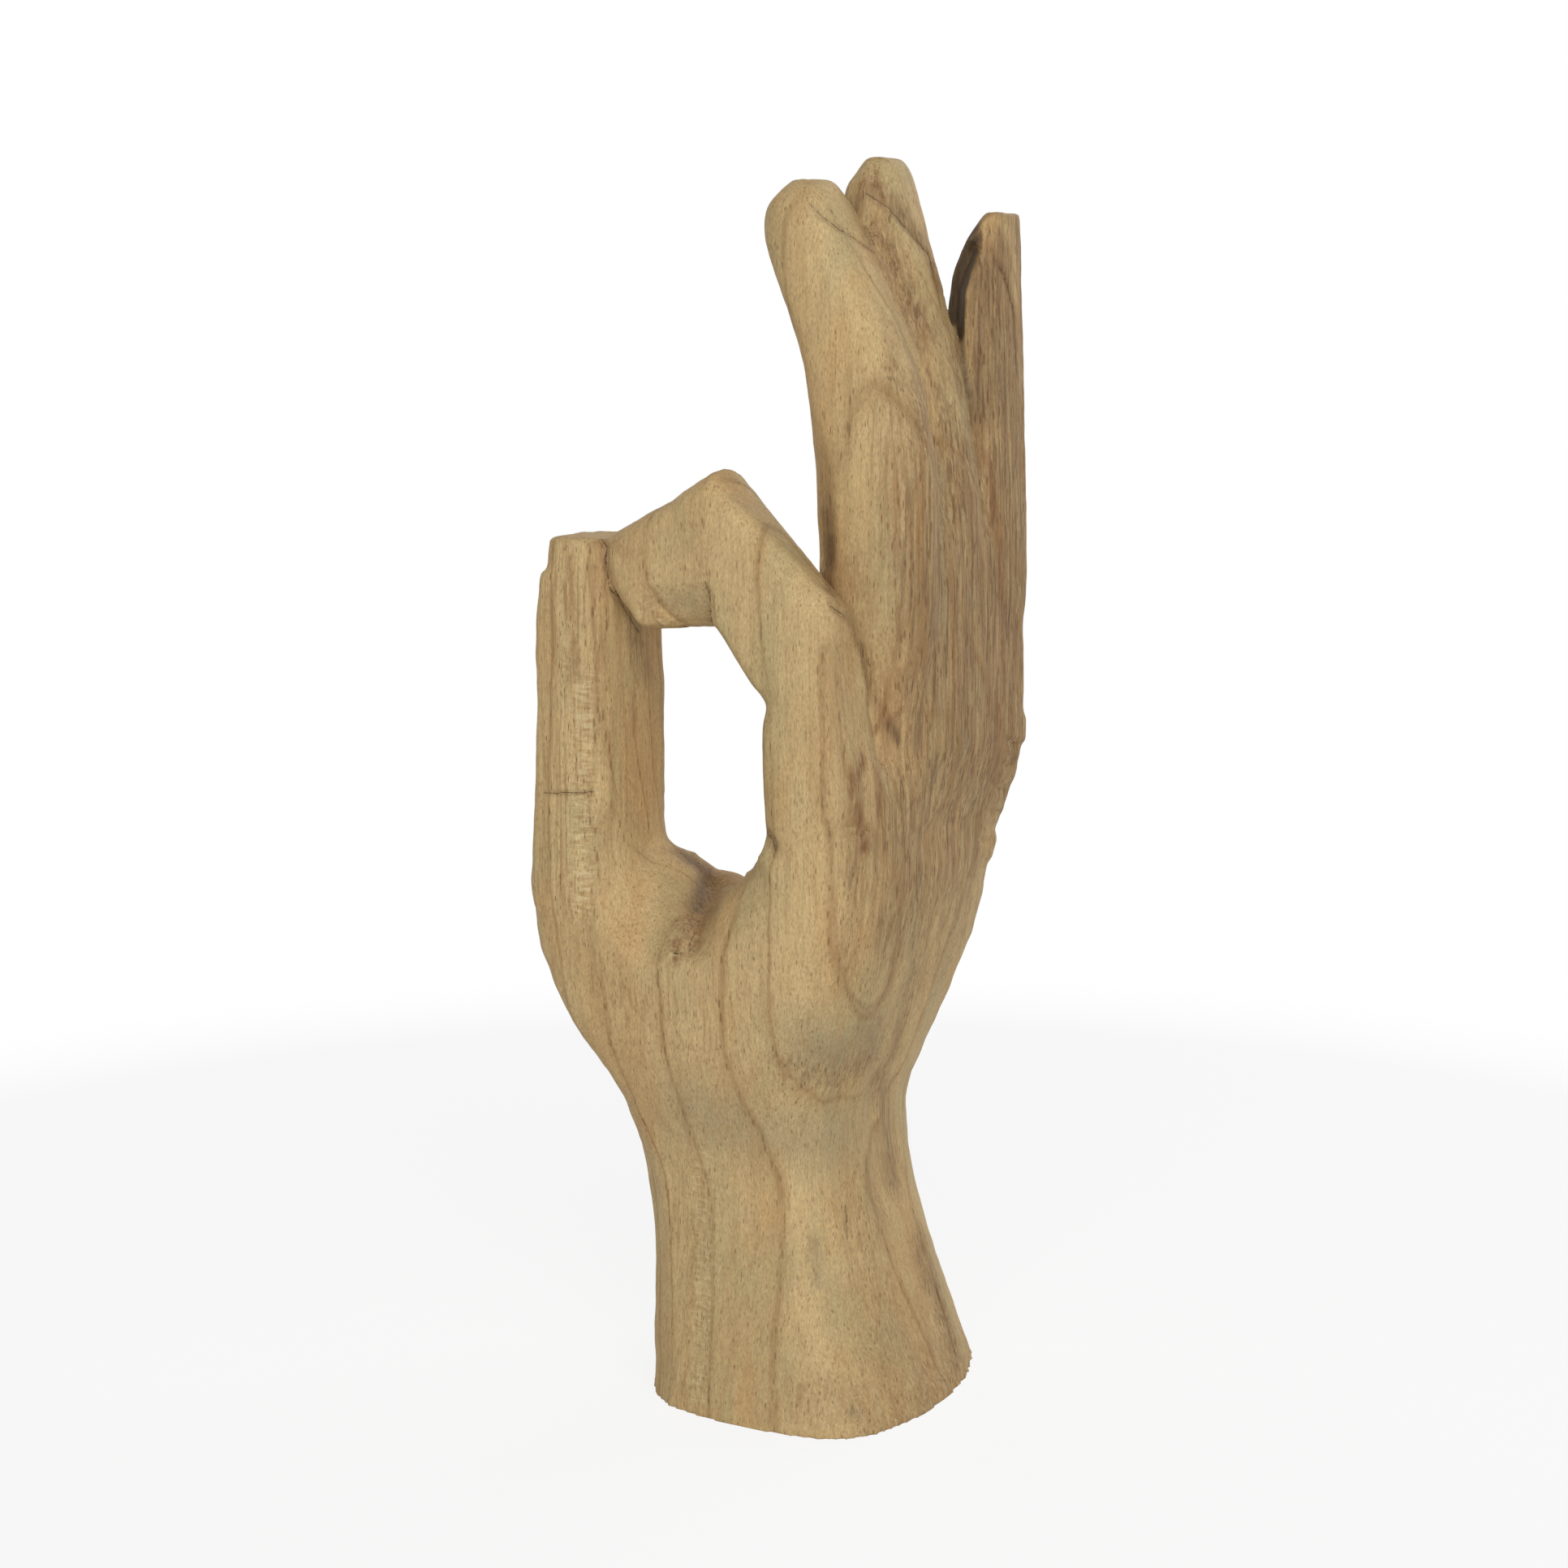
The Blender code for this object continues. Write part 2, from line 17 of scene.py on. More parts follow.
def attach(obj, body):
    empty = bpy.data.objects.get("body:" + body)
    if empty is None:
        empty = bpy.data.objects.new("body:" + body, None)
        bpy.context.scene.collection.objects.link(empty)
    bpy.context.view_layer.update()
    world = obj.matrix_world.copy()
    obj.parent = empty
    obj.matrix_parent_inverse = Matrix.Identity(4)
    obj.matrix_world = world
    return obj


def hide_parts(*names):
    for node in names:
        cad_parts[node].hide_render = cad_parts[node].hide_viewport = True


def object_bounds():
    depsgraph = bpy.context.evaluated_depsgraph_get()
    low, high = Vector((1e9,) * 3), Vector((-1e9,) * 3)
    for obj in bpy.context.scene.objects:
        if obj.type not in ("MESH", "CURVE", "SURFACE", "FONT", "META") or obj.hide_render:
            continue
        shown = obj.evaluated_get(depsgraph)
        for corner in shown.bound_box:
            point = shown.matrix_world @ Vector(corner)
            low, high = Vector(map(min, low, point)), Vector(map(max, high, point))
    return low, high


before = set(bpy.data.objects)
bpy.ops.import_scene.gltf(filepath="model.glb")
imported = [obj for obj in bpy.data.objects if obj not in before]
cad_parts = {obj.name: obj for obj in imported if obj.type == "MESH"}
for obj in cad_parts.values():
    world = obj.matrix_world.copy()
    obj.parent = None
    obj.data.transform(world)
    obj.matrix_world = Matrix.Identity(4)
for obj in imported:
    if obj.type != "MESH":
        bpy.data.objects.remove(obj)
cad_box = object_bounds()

MM = 0.001
WOOD_NODE = "carved_hand"

# The photograph's camera.
PHOTO_WIDTH = 1932
SENSOR_WIDTH = 36.0
LENS = 67.47
CAMERA_TURN = math.radians(30.0)
CAMERA_RISE = math.radians(9.0)
CAMERA_DISTANCE = 680.0
CAMERA_AIM = np.array([-6.0, -3.5, 141.8])
NEAREST_SEEN = 10.0

# The fine skin: the gap between its points, the radius and speed at which machine-cut edges are
# softened, the height where that begins, and how much higher it is full.
SKIN_GRAIN = 0.65
SKIN_SOFTENING = 1.05
SOFTENING_STEP = 0.6
SOFT_FROM_HEIGHT = 0.6
SOFT_WITHIN = 1.5

# Following a path: its steps in pixels, the least distance between its points on the wood, and
# the most of them within a reach.
TRACE_STEP = 2.5
SHIFT_STEP = 5.0
FINE_SPACING = 0.5
POINTS_IN_REACH = 12.0
TINY = 1e-12

# How far wood may turn away from the way that a path faces and still belong to it, as a cosine.
SAME_FACE = 0.5
ROUND_AN_EDGE = 0.1
OVER_THE_RIM = -0.3
OVER_A_BEVEL = -0.4
OVER_THE_BACK_EDGE = -0.6
ALL_ROUND = -1.1

# How many widths to each side a groove, a swelling and paint are followed, a groove's depth at its
# ends beside 1 in its middle, and the share of a ridge or bevel over which an end fades.
GROOVE_WIDTHS = 3.0
GROOVE_MARGIN = 2.0
SWELL_WIDTHS = 2.2
PAINT_WIDTHS = 2.5
GROOVE_END_DEPTH = 0.3
RIDGE_TAPER = 0.12
BEVEL_TAPER = 0.08

# How far from it a dark line is remembered, the distance that stands for no line, the strongest
# paint, and how far a normal leans to the palm side where that side's painted shade begins, and how
# much farther where it is full.
LINE_REACH = 5.0
NO_LINE = 9.0
FULL_PAINT = 0.95
PALM_SIDE_START = 0.1
PALM_SIDE_FADE = 0.4

# The trunk's pith passes beside the thumb, behind the hand. Its x and y are a place, a slope and a
# bend over the height, counted from PITH_HEIGHT in steps.
PITH_X = (-105.2, 19.6, 21.4)
PITH_Y = (57.5, 15.0, 12.3)
PITH_HEIGHT = 140.0
PITH_STEP = 100.0

# Growth rings, as radii about the pith. WITHIN_PALM_RING lies between two of them.
THUMB_OUTER_RING = 115.7
THUMB_RING = 121.2
WRIST_OUTER_RING = 131.4
PALM_RING = 142.8
WITHIN_PALM_RING = 146.0
BROAD_ARCH_RING = 149.1
NARROW_ARCH_RING = 157.8
RING_RADII = (
    54.0, 62.0, 69.0, 77.5, 84.0, 92.0, 99.0, 105.5, 110.5, THUMB_OUTER_RING, THUMB_RING,
    WRIST_OUTER_RING, PALM_RING, BROAD_ARCH_RING, NARROW_ARCH_RING, 166.0, 173.5, 182.0, 190.0, 199.0,
)
RING_LINES = (
    (THUMB_OUTER_RING, ((683, 740), (680, 900), (677, 1000), (684, 1125), (700, 1235))),
    (THUMB_RING, ((745, 700), (741, 800), (734, 1000), (732, 1100), (744, 1225), (754, 1275))),
    (WRIST_OUTER_RING, ((816, 1162), (819, 1287), (827, 1325), (861, 1404), (880, 1496), (880, 1600),
                        (877, 1704))),
    (WRIST_OUTER_RING, ((999, 239), (982, 254), (969, 295), (968, 323), (970, 350))),
    (WRIST_OUTER_RING, ((1119, 1475), (1140, 1550), (1169, 1629), (1182, 1675))),
    (PALM_RING, ((907, 1137), (892, 1190), (895, 1287), (907, 1333), (948, 1408), (973, 1475),
                 (971, 1529), (959, 1637), (958, 1725))),
    (PALM_RING, ((1085, 1370), (1070, 1390), (1063, 1420), (1064, 1455), (1082, 1517), (1115, 1600),
                 (1146, 1671), (1163, 1700))),
    (PALM_RING, ((1034, 708), (1037, 626), (1046, 555), (1057, 512), (1086, 491), (1114, 508),
                 (1136, 541), (1152, 590))),
    (WITHIN_PALM_RING, ((1030, 1500), (1040, 1620), (1050, 1740))),
    (BROAD_ARCH_RING, ((950, 1105), (950, 1225), (953, 1267), (964, 1303), (982, 1329), (1005, 1346),
                       (1030, 1353), (1055, 1347), (1075, 1333), (1100, 1300), (1133, 1195))),
    (BROAD_ARCH_RING, ((972, 658), (950, 666), (938, 684), (938, 760), (946, 840))),
    (NARROW_ARCH_RING, ((1020, 808), (1016, 920), (1020, 1000), (1030, 1162), (1044, 1225),
                        (1065, 1242), (1082, 1235), (1096, 1212), (1103, 1142), (1102, 1112))),
)

# The rings' fit to those lines: how far a line bends them, which is farther along the grain, how
# loosely they follow it, and the distance between the places compared.
RING_FIT_REACH = 20.0
RING_FIT_SHAPE = np.array([1.0, 1.0, 0.6])
RING_FIT_SLACK = 0.02
RING_FIT_SPACING = 5.0

# Seams, creases, nicks, nail lines, crests and hollows, as paths of pixels.
THUMB_TIP_SEAM = ((743, 667), (748, 674), (746, 689), (748, 704), (751, 725), (757, 732))
THUMB_TIP_GAP_SHADOW = ((760, 731), (769, 750), (780, 768), (785, 776))
WEB_CREASE = ((889, 1074), (863, 1127), (847, 1178))
WEB_GOUGE = ((832, 1162), (831, 1188))
THUMB_CREASE = ((673, 977), (700, 977), (729, 976))
KNUCKLE_NICK = ((1025, 748), (1039, 758))
RING_EDGE_NICK = ((946, 1026), (953, 1036), (955, 1045))
MIDDLE_NAIL = ((1001, 255), (1012, 266), (1030, 280), (1054, 295), (1076, 311))
RING_NAIL = ((1070, 240), (1094, 256), (1124, 290), (1145, 315), (1160, 380))
LITTLE_NAIL = ((1225, 320), (1237, 338), (1249, 384), (1252, 460))
INDEX_RIDGE = ((1022, 780), (1020, 900), (1018, 1040))
SLANT_RIDGE = ((894, 612), (946, 664), (1010, 731), (1035, 750))
THUMB_RIDGE = ((742, 720), (741, 800), (735, 960), (731, 1060))
MIDDLE_PALM_EDGE = ((980, 390), (985, 430), (1003, 500), (1022, 560), (1032, 640), (1035, 710))
TIP_UNDERSIDE = ((784, 732), (796, 720), (830, 717), (877, 717))
THUMB_ROOT_ROLL = ((752, 1040), (775, 1100), (815, 1140))
INDEX_ROOT_SEAM = ((1072, 890), (1084, 960), (1088, 1040))
WEB_HOLLOW = ((775, 1075), (825, 1095), (868, 1110), (905, 1100))
WEB_SLOPE = ((800, 1100), (838, 1135), (870, 1140))
RING_CORNER = ((812, 1005), (822, 1040), (850, 1052), (880, 1068))
WEB_VALLEY = ((880, 1082), (866, 1120), (850, 1165))
MIDDLE_RING_JOIN = ((1080, 320), (1107, 382), (1126, 435), (1146, 482))
LITTLE_PALM_EDGE = ((1213, 303), (1199, 335), (1190, 362), (1189, 410), (1189, 455))
BACK_BEND = ((1095, 985), (1140, 972), (1190, 958), (1234, 944))
SIDE_CRACK = ((1042, 1488), (1044, 1522))
RIGHT_CHECK = ((1152, 1585), (1168, 1635), (1180, 1680))
UNDERSIDE_CRACK = ((870, 720), (876, 740), (877, 765))
FINGER_NICKS = (
    ((1129, 452), (1137, 458)), ((1140, 473), (1147, 478)), ((1178, 457), (1184, 463)),
    ((1183, 483), (1189, 488)), ((1101, 882), (1109, 889)),
)

# Chips out of the foot's rim, and short cuts that leave the back edge jagged.
RIM_NICKS = (
    ((1020, 1744), (1022, 1754)), ((1052, 1737), (1055, 1748)), ((1090, 1741), (1094, 1750)),
    ((1108, 1722), (1112, 1732)), ((1136, 1716), (1142, 1726)), ((1168, 1698), (1176, 1706)),
)
BACK_EDGE_STEPS = (
    ((1240, 914), (1259, 918)), ((1235, 942), (1254, 948)), ((1228, 972), (1246, 976)),
    ((1216, 1000), (1236, 1003)), ((1205, 1034), (1225, 1036)),
)

# Wood that settles softly, first at the thumb's root: path, reach, and how far round it goes.
THUMB_ROOT_REACH = 9.0
SOFT_PLACES = (
    (RING_CORNER, 7.0, ALL_ROUND),
    (WEB_HOLLOW, 9.5, ROUND_AN_EDGE),
    (WEB_SLOPE, 8.0, ROUND_AN_EDGE),
    (INDEX_ROOT_SEAM, 7.5, ROUND_AN_EDGE),
    (MIDDLE_RING_JOIN, 8.0, ALL_ROUND),
    (BACK_BEND, 8.0, ROUND_AN_EDGE),
)

# The valley of the web. Then bevels on the right of a path: path, width, drop, the distance over
# which the slope fades, and whether the wood goes straight back from the viewer.
WEB_VALLEY_WIDTH = 4.5
WEB_VALLEY_DEPTH = 2.6
BEVELS = (
    (TIP_UNDERSIDE, 9.5, 4.5, 9.0, False),
    (MIDDLE_PALM_EDGE, 5.0, 2.4, 5.0, True),
    (LITTLE_PALM_EDGE, 3.0, 2.5, 4.0, False),
    (INDEX_RIDGE[::-1], 9.0, 1.4, 9.0, False),
)

# Crests between two facets: path and height.
RIDGE_WIDTH = 4.5
RIDGES = (
    (INDEX_RIDGE, 0.5),
    (SLANT_RIDGE, 0.9),
    (THUMB_RIDGE, 0.6),
)

# The unevenness that tools left: height, and size along each axis, with finer marks on it. Tool
# marks begin above the foot's rim, and the rim is rougher up to a height, but not on the sole.
FINER_MARKS = 2.3
FINER_HEIGHT = 0.5
TOOL_MARK_DEPTH = 0.22
TOOL_MARK_SIZE = np.array([4.0, 4.0, 9.0])
TOOL_MARKS_FROM = 1.0
TOOL_MARKS_WITHIN = 1.0
RIM_MARK_DEPTH = 0.55
RIM_MARK_SIZE = np.array([1.8, 1.8, 1.5])
RIM_MARK_HEIGHT = 3.0
SOLE_NORMAL = -0.7
SOLE_FADE = 0.2

# Grooves: path, width and depth.
GROOVES = (
    (THUMB_TIP_SEAM, 0.6, 0.9),
    (WEB_CREASE, 1.6, 0.8),
    (WEB_GOUGE, 0.9, 1.0),
    (THUMB_CREASE, 0.6, 0.4),
    (KNUCKLE_NICK, 0.8, 0.9),
    (RING_EDGE_NICK, 0.8, 1.0),
    (SIDE_CRACK, 0.5, 0.4),
    (RIGHT_CHECK, 0.5, 0.25),
    (UNDERSIDE_CRACK, 0.6, 0.6),
    (MIDDLE_NAIL, 0.6, 0.5),
    (RING_NAIL, 0.6, 0.5),
    (LITTLE_NAIL, 0.6, 0.5),
)

# Dark lines: how much thinner to each side they are than a full one, and their paths.
DARK_LINES = (
    # The line along the thumb tip's gap is a painted shadow where the index finger's tip meets the thumb.
    (0.0, (THUMB_TIP_SEAM, THUMB_TIP_GAP_SHADOW)),
    (0.2, (KNUCKLE_NICK, RING_EDGE_NICK, MIDDLE_NAIL, RING_NAIL, LITTLE_NAIL)),
    (0.2, (SIDE_CRACK, UNDERSIDE_CRACK)),
    (0.3, (THUMB_CREASE, RIGHT_CHECK)),
)

# Moves of the CAD block's outline: a path along it, the reach over which the move fades, and the
# move to the right and up as seen in the photograph.
OUTLINE_MOVES = (
    (((1046, 228), (1048, 240)), 3.0, -0.7, 0.0),
    (((1130, 225), (1134, 246)), 4.0, -0.5, 0.0),
    (((1169, 372), (1172, 382)), 3.2, 0.0, -2.2),
    (((818, 618), (826, 614)), 2.5, 0.0, -0.5),
    (((673, 664), (670, 690)), 3.0, 0.6, 0.0),
    (((814, 772), (816, 802)), 4.0, -0.4, 0.0),
    (((939, 860), (940, 870)), 3.0, 0.5, 0.0),
    (((940, 905), (938, 960), (942, 1020)), 4.0, -0.5, 0.0),
    (((816, 998), (817, 1012)), 3.0, 0.6, 0.0),
    (((858, 1048), (880, 1060)), 3.5, 0.0, -1.2),
    (((888, 1070), (905, 1076), (915, 1076)), 3.0, 0.0, -0.5),
    (((924, 1064), (936, 1048)), 3.0, 0.5, -0.4),
    (((662, 772), (662, 802)), 5.0, -0.6, 0.0),
    (((660, 1090), (662, 1112)), 4.0, -0.6, 0.0),
    (((658, 1145), (664, 1170), (672, 1190)), 4.0, 0.7, 0.0),
    (((703, 1250), (718, 1278)), 5.0, -0.5, 0.0),
    (((1164, 1575), (1178, 1610), (1186, 1638)), 8.0, 0.5, 0.0),
    (((1156, 1715), (1156, 1732)), 4.0, 0.9, 0.0),
    (((1188, 1155), (1178, 1184), (1160, 1230), (1138, 1275), (1130, 1300)), 6.0, 0.75, 0.0),
    (((753, 1318), (765, 1345)), 5.0, 0.4, 0.0),
    (((1117, 1362), (1117, 1400), (1122, 1440)), 10.0, -0.9, 0.0),
    (((806, 1680), (806, 1708)), 5.0, 0.6, 0.0),
    (((700, 660), (725, 660)), 4.0, 0.0, 0.5),
    (((893, 582), (897, 582)), 4.0, 0.0, 0.6),
    (((866, 1054), (880, 1062)), 3.0, 0.0, -0.5),
    (((1262, 888), (1262, 908)), 2.0, 0.8, 0.0),
    (((1257, 922), (1256, 936)), 1.5, -0.4, 0.0),
    (((1246, 970), (1241, 988)), 1.8, -0.7, 0.0),
    (((1234, 1006), (1230, 1018)), 1.8, -1.1, 0.0),
    (((1225, 1038), (1222, 1054)), 1.5, 0.4, 0.0),
    (((1216, 1066), (1213, 1084)), 2.0, -0.4, 0.0),
)

# Paint on the wood, each a path, the paint's reach and its strength: brown wood, reddish stains,
# grey weathering and dark marks, with some of the brown, grey and dark paint being painted shade in
# hollows and gaps, and painted shade that shows only where the wood faces the palm side.
BROWN_AND_SHADE_PLACES = (
    # Painted shade in the web's valley and along the ring's lower edge.
    (WEB_VALLEY, 3.5, 0.9),
    (((840, 1052), (862, 1066), (880, 1076)), 3.0, 1.0),
    # Brown wood at the fingertips.
    (((1077, 232), (1110, 262), (1140, 303), (1156, 350)), 2.6, 0.75),
    (((1055, 262), (1064, 226), (1080, 213)), 2.0, 0.6),
    # The ring finger's side face: browner wood, and painted shade beside the middle finger.
    (((1078, 290), (1110, 345), (1140, 410)), 4.5, 0.8),
    # Painted shade on the little finger's palm side, beside the ring finger.
    (((1183, 300), (1180, 360), (1181, 440)), 2.6, 1.0),
    # Brown wood.
    (((1214, 330), (1216, 420), (1210, 520)), 4.5, 0.9),
    (((1216, 296), (1236, 322), (1246, 372), (1250, 470)), 1.8, 0.6),
    (((1212, 290), (1201, 299)), 2.0, 0.9),
    (((1099, 353), (1122, 404), (1140, 448), (1158, 494), (1175, 537)), 1.5, 0.6),
    (((1200, 540), (1218, 595), (1236, 640)), 1.6, 0.6),
    # Painted shade on the middle finger's side, in the gap behind the index finger.
    (((1014, 560), (1018, 620)), 2.0, 0.3),
    (((1019, 635), (1023, 730)), 2.6, 0.8),
    # Brown wood.
    (((1160, 600), (1166, 760), (1150, 900)), 3.0, 0.45),
    (((1045, 760), (1066, 820), (1090, 895), (1112, 960)), 1.8, 0.55),
    (((1097, 888), (1105, 912)), 2.0, 0.95),
    (((1110, 1000), (1130, 1090), (1128, 1190), (1098, 1300)), 4.5, 0.45),
    (((975, 1318), (1030, 1330), (1075, 1300)), 5.0, 0.5),
    (((1045, 1170), (1062, 1215)), 3.5, 0.3),
    (((704, 805), (708, 832)), 1.8, 0.45),
    # Painted shade on the thumb's inner face, under the index finger's tip.
    (((785, 785), (798, 830)), 3.0, 0.5),
    # Brown wood.
    (((948, 1024), (955, 1046)), 1.3, 0.7),
    (((1065, 1490), (1085, 1600), (1100, 1690)), 8.0, 0.28),
    (((1135, 1540), (1165, 1630), (1176, 1680)), 5.0, 0.7),
    (((960, 1722), (1070, 1725)), 6.0, 0.25),
    (((1083, 1330), (1096, 1400), (1100, 1450)), 5.0, 0.55),
)
RED_PLACES = (
    (WEB_GOUGE, 1.2, 0.75),
    (((740, 670), (746, 700)), 1.3, 0.5),
    (((757, 668), (770, 682)), 1.8, 0.35),
    (((1062, 936), (1059, 950), (1053, 962), (1049, 975)), 1.9, 0.95),
    (((1056, 996), (1059, 1012), (1062, 1030), (1067, 1046)), 1.6, 0.9),
    (((1060, 1028), (1065, 1044)), 2.1, 0.95),
    (((1083, 955), (1085, 1002)), 0.9, 0.85),
    (((1024, 744), (1040, 762)), 1.3, 0.45),
    (((1020, 1010), (1026, 1110), (1033, 1180), (1045, 1222), (1065, 1242), (1082, 1236),
      (1096, 1212), (1102, 1170)), 0.6, 0.45),
    (((1017, 800), (1013, 900), (1017, 1000)), 0.6, 0.4),
    (((752, 880), (754, 1010)), 0.8, 0.3),
    (((1060, 240), (1066, 228), (1084, 226)), 1.2, 0.45),
    (((1080, 1395), (1088, 1450)), 2.2, 0.25),
    (((1176, 740), (1180, 800), (1182, 850)), 0.9, 0.4),
    (((1214, 560), (1228, 640), (1234, 720), (1237, 830)), 1.5, 0.6),
    (((1196, 600), (1204, 660), (1212, 700)), 1.0, 0.5),
    (((1048, 700), (1072, 780), (1090, 880)), 4.0, 0.3),
    (((1110, 600), (1116, 700), (1120, 800)), 5.0, 0.14),
    (((1196, 880), (1200, 980), (1190, 1060)), 1.2, 0.4),
    (((1217, 302), (1226, 318), (1238, 345), (1247, 375), (1250, 430)), 1.5, 0.5),
    (((1228, 870), (1230, 960)), 1.3, 0.5),
    (((700, 690), (706, 760), (712, 830)), 2.0, 0.3),
    (((733, 700), (738, 800), (734, 900)), 1.0, 0.35),
    (((775, 780), (784, 840), (782, 900)), 1.2, 0.35),
    (((855, 650), (858, 700)), 4.0, 0.14),
)
GREY_AND_SHADE_PLACES = (
    (((850, 1370), (930, 1395), (1040, 1405)), 9.0, 0.75),
    (((990, 1270), (1030, 1300), (1080, 1265)), 7.0, 0.7),
    # Painted shade under the index finger's tip.
    (((805, 742), (868, 742)), 3.5, 0.6),
    # Grey wood and marks.
    (((1003, 1530), (1008, 1580)), 1.8, 0.7),
    (((1157, 765), (1163, 780)), 1.0, 0.9),
    (((1196, 738), (1204, 744)), 1.0, 0.9),
    (((1156, 590), (1165, 680), (1163, 760), (1160, 880)), 1.7, 0.7),
    (((1205, 730), (1215, 800), (1210, 880)), 1.8, 0.5),
    (((1192, 900), (1196, 1000)), 2.2, 0.5),
    (((1048, 1738), (1060, 1744)), 1.2, 0.8),
    (((1065, 1430), (1075, 1480)), 2.5, 0.35),
)
DARK_AND_SHADE_PLACES = (
    # Painted shade in the web's crease.
    (((850, 1058), (870, 1076)), 2.6, 0.45),
    (((868, 1084), (856, 1118)), 2.2, 0.45),
    # Painted shade on the little finger's palm side, beside the ring finger.
    (((1199, 298), (1187, 322), (1179, 350), (1176, 378), (1177, 396)), 2.8, 0.95),
    (((1181, 405), (1185, 430), (1189, 460), (1193, 490)), 1.0, 0.7),
    (((1193, 490), (1200, 530)), 0.8, 0.35),
    # Darker patches and a small mark.
    (((1216, 340), (1218, 420), (1212, 500)), 4.5, 0.25),
    (((1092, 1400), (1098, 1450)), 4.0, 0.16),
    (((1000, 1280), (1030, 1300), (1070, 1280)), 5.0, 0.12),
    (((1097, 892), (1103, 908)), 1.2, 0.45),
)
# Painted shade on the palm sides of the little and middle fingers, where they lie in the gaps beside the
# ring and index fingers.
PALM_SIDE_SHADE_PLACES = (
    (((1192, 300), (1183, 330), (1180, 370), (1184, 400), (1188, 440)), 6.5, 1.3),
    (((1020, 615), (1022, 640), (1024, 660)), 1.8, 0.3),
    (((1023, 665), (1024, 735)), 2.0, 0.7),
)

# Where no growth line shows, and where ray flecks show as small pale ripples.
PLAIN_PLACES = (
    (((876, 600), (880, 690), (886, 772)), 4.0, 1.0),
    (((776, 790), (770, 900), (768, 1040)), 3.0, 1.0),
    (((1090, 285), (1128, 380), (1165, 500)), 5.0, 1.0),
    (((1215, 320), (1222, 460), (1225, 600)), 5.0, 1.0),
    (((1012, 238), (1030, 258), (1045, 290)), 2.5, 1.0),
    (((840, 725), (860, 760)), 4.0, 1.0),
)
FLECKED_PLACES = (
    (((722, 840), (720, 960), (716, 1120)), 3.2, 1.0),
    (((862, 1430), (868, 1560), (860, 1720)), 3.2, 0.7),
    (((700, 780), (696, 830)), 1.6, 0.5),
)

# Where fibres and streaks are strong, and where the wood is fresh and hasn't turned brown.
STREAKY_PLACES = (
    (((705, 700), (700, 900), (690, 1100)), 7.0, 1.0),
    (((770, 780), (770, 1000)), 5.0, 0.3),
    (((1085, 240), (1130, 380), (1165, 500)), 5.0, 0.3),
    (((1215, 320), (1222, 460), (1225, 600)), 6.0, 1.0),
    (((1200, 640), (1195, 800), (1170, 1000)), 8.0, 0.8),
    (((780, 1240), (900, 1250)), 8.0, 0.5),
    (((850, 1480), (850, 1720)), 5.0, 0.4),
)
FRESH_PLACES = (
    (((1214, 272), (1232, 270), (1244, 290), (1250, 330), (1252, 370)), 2.2, 0.75),
)
PAINTED_PLACES = {
    "brown_and_shade": BROWN_AND_SHADE_PLACES,
    "stain": RED_PLACES,
    "grey_and_shade": GREY_AND_SHADE_PLACES,
    "dark": DARK_AND_SHADE_PLACES,
    "palm_side_shade": PALM_SIDE_SHADE_PLACES,
    "plain": PLAIN_PLACES,
    "flecked": FLECKED_PLACES,
    "streaky": STREAKY_PLACES,
    "fresh": FRESH_PLACES,
}

# Colours of the wood and of what lies in and on it, some also used for painted shade.
PALE_WOOD = (0.56, 0.405, 0.198, 1.0)
PINK_WOOD = (0.52, 0.335, 0.150, 1.0)
GREEN_WOOD = (0.45, 0.36, 0.180, 1.0)
BROWN_WOOD_AND_SHADE = (0.27, 0.175, 0.085, 1.0)
GREY_WOOD_AND_SHADE = (0.33, 0.265, 0.150, 1.0)
END_GRAIN_BROWN = (0.34, 0.22, 0.10, 1.0)
CHECK_BROWN = (0.115, 0.062, 0.030, 1.0)
FIBRE_BROWN = (0.36, 0.205, 0.080, 1.0)
RAY_PALE = (0.66, 0.52, 0.29, 1.0)
LATE_WOOD = (0.27, 0.150, 0.055, 1.0)
PORE_BROWN = (0.19, 0.092, 0.034, 1.0)
DARK_MARK_AND_SHADE = (0.05, 0.032, 0.018, 1.0)
STAIN_RED = (0.20, 0.088, 0.036, 1.0)
CREASE_AND_GAP_SHADOW_BROWN = (0.06, 0.03, 0.014, 1.0)

# Figure of the wood: breadth of a feature, its length along the upright grain, and the detail and
# roughness of its noise.
Figure = namedtuple("Figure", "breadth length detail roughness", defaults=(2.0, 0.5))
PINK_PATCH = Figure(11.0, 45.0, detail=3.0)
GREEN_PATCH = Figure(14.0, 38.0, detail=3.0)
WEATHERED_STREAK = Figure(5.0, 80.0, detail=4.0, roughness=0.6)
BROWN_STRIP = Figure(1.8, 26.0)
SHORT_CHECK = Figure(0.9, 17.0, detail=3.0, roughness=0.6)
FIBRE = Figure(0.8, 28.0, detail=4.0, roughness=0.65)
BROAD_STREAK = Figure(2.4, 90.0, detail=3.0)
FLECK = Figure(0.35, 2.6, roughness=0.7)
SPECK = Figure(0.34, 0.9, detail=1.0)
ORANGE_SPECK = Figure(0.5, 1.4, detail=1.0)
RAY_RIPPLE = Figure(3.0, 0.75, detail=3.0, roughness=0.65)
YEAR_WOBBLE = Figure(7.0, 25.0)
LINE_PATCH = Figure(10.0, 30.0)
LARGE_PORE = Figure(1.05, 5.4)
SMALL_PORE = Figure(0.72, 3.6)
STAIN_PATCH = Figure(0.9, 3.5)
CREASE_PATCH = Figure(1.5, 1.5)

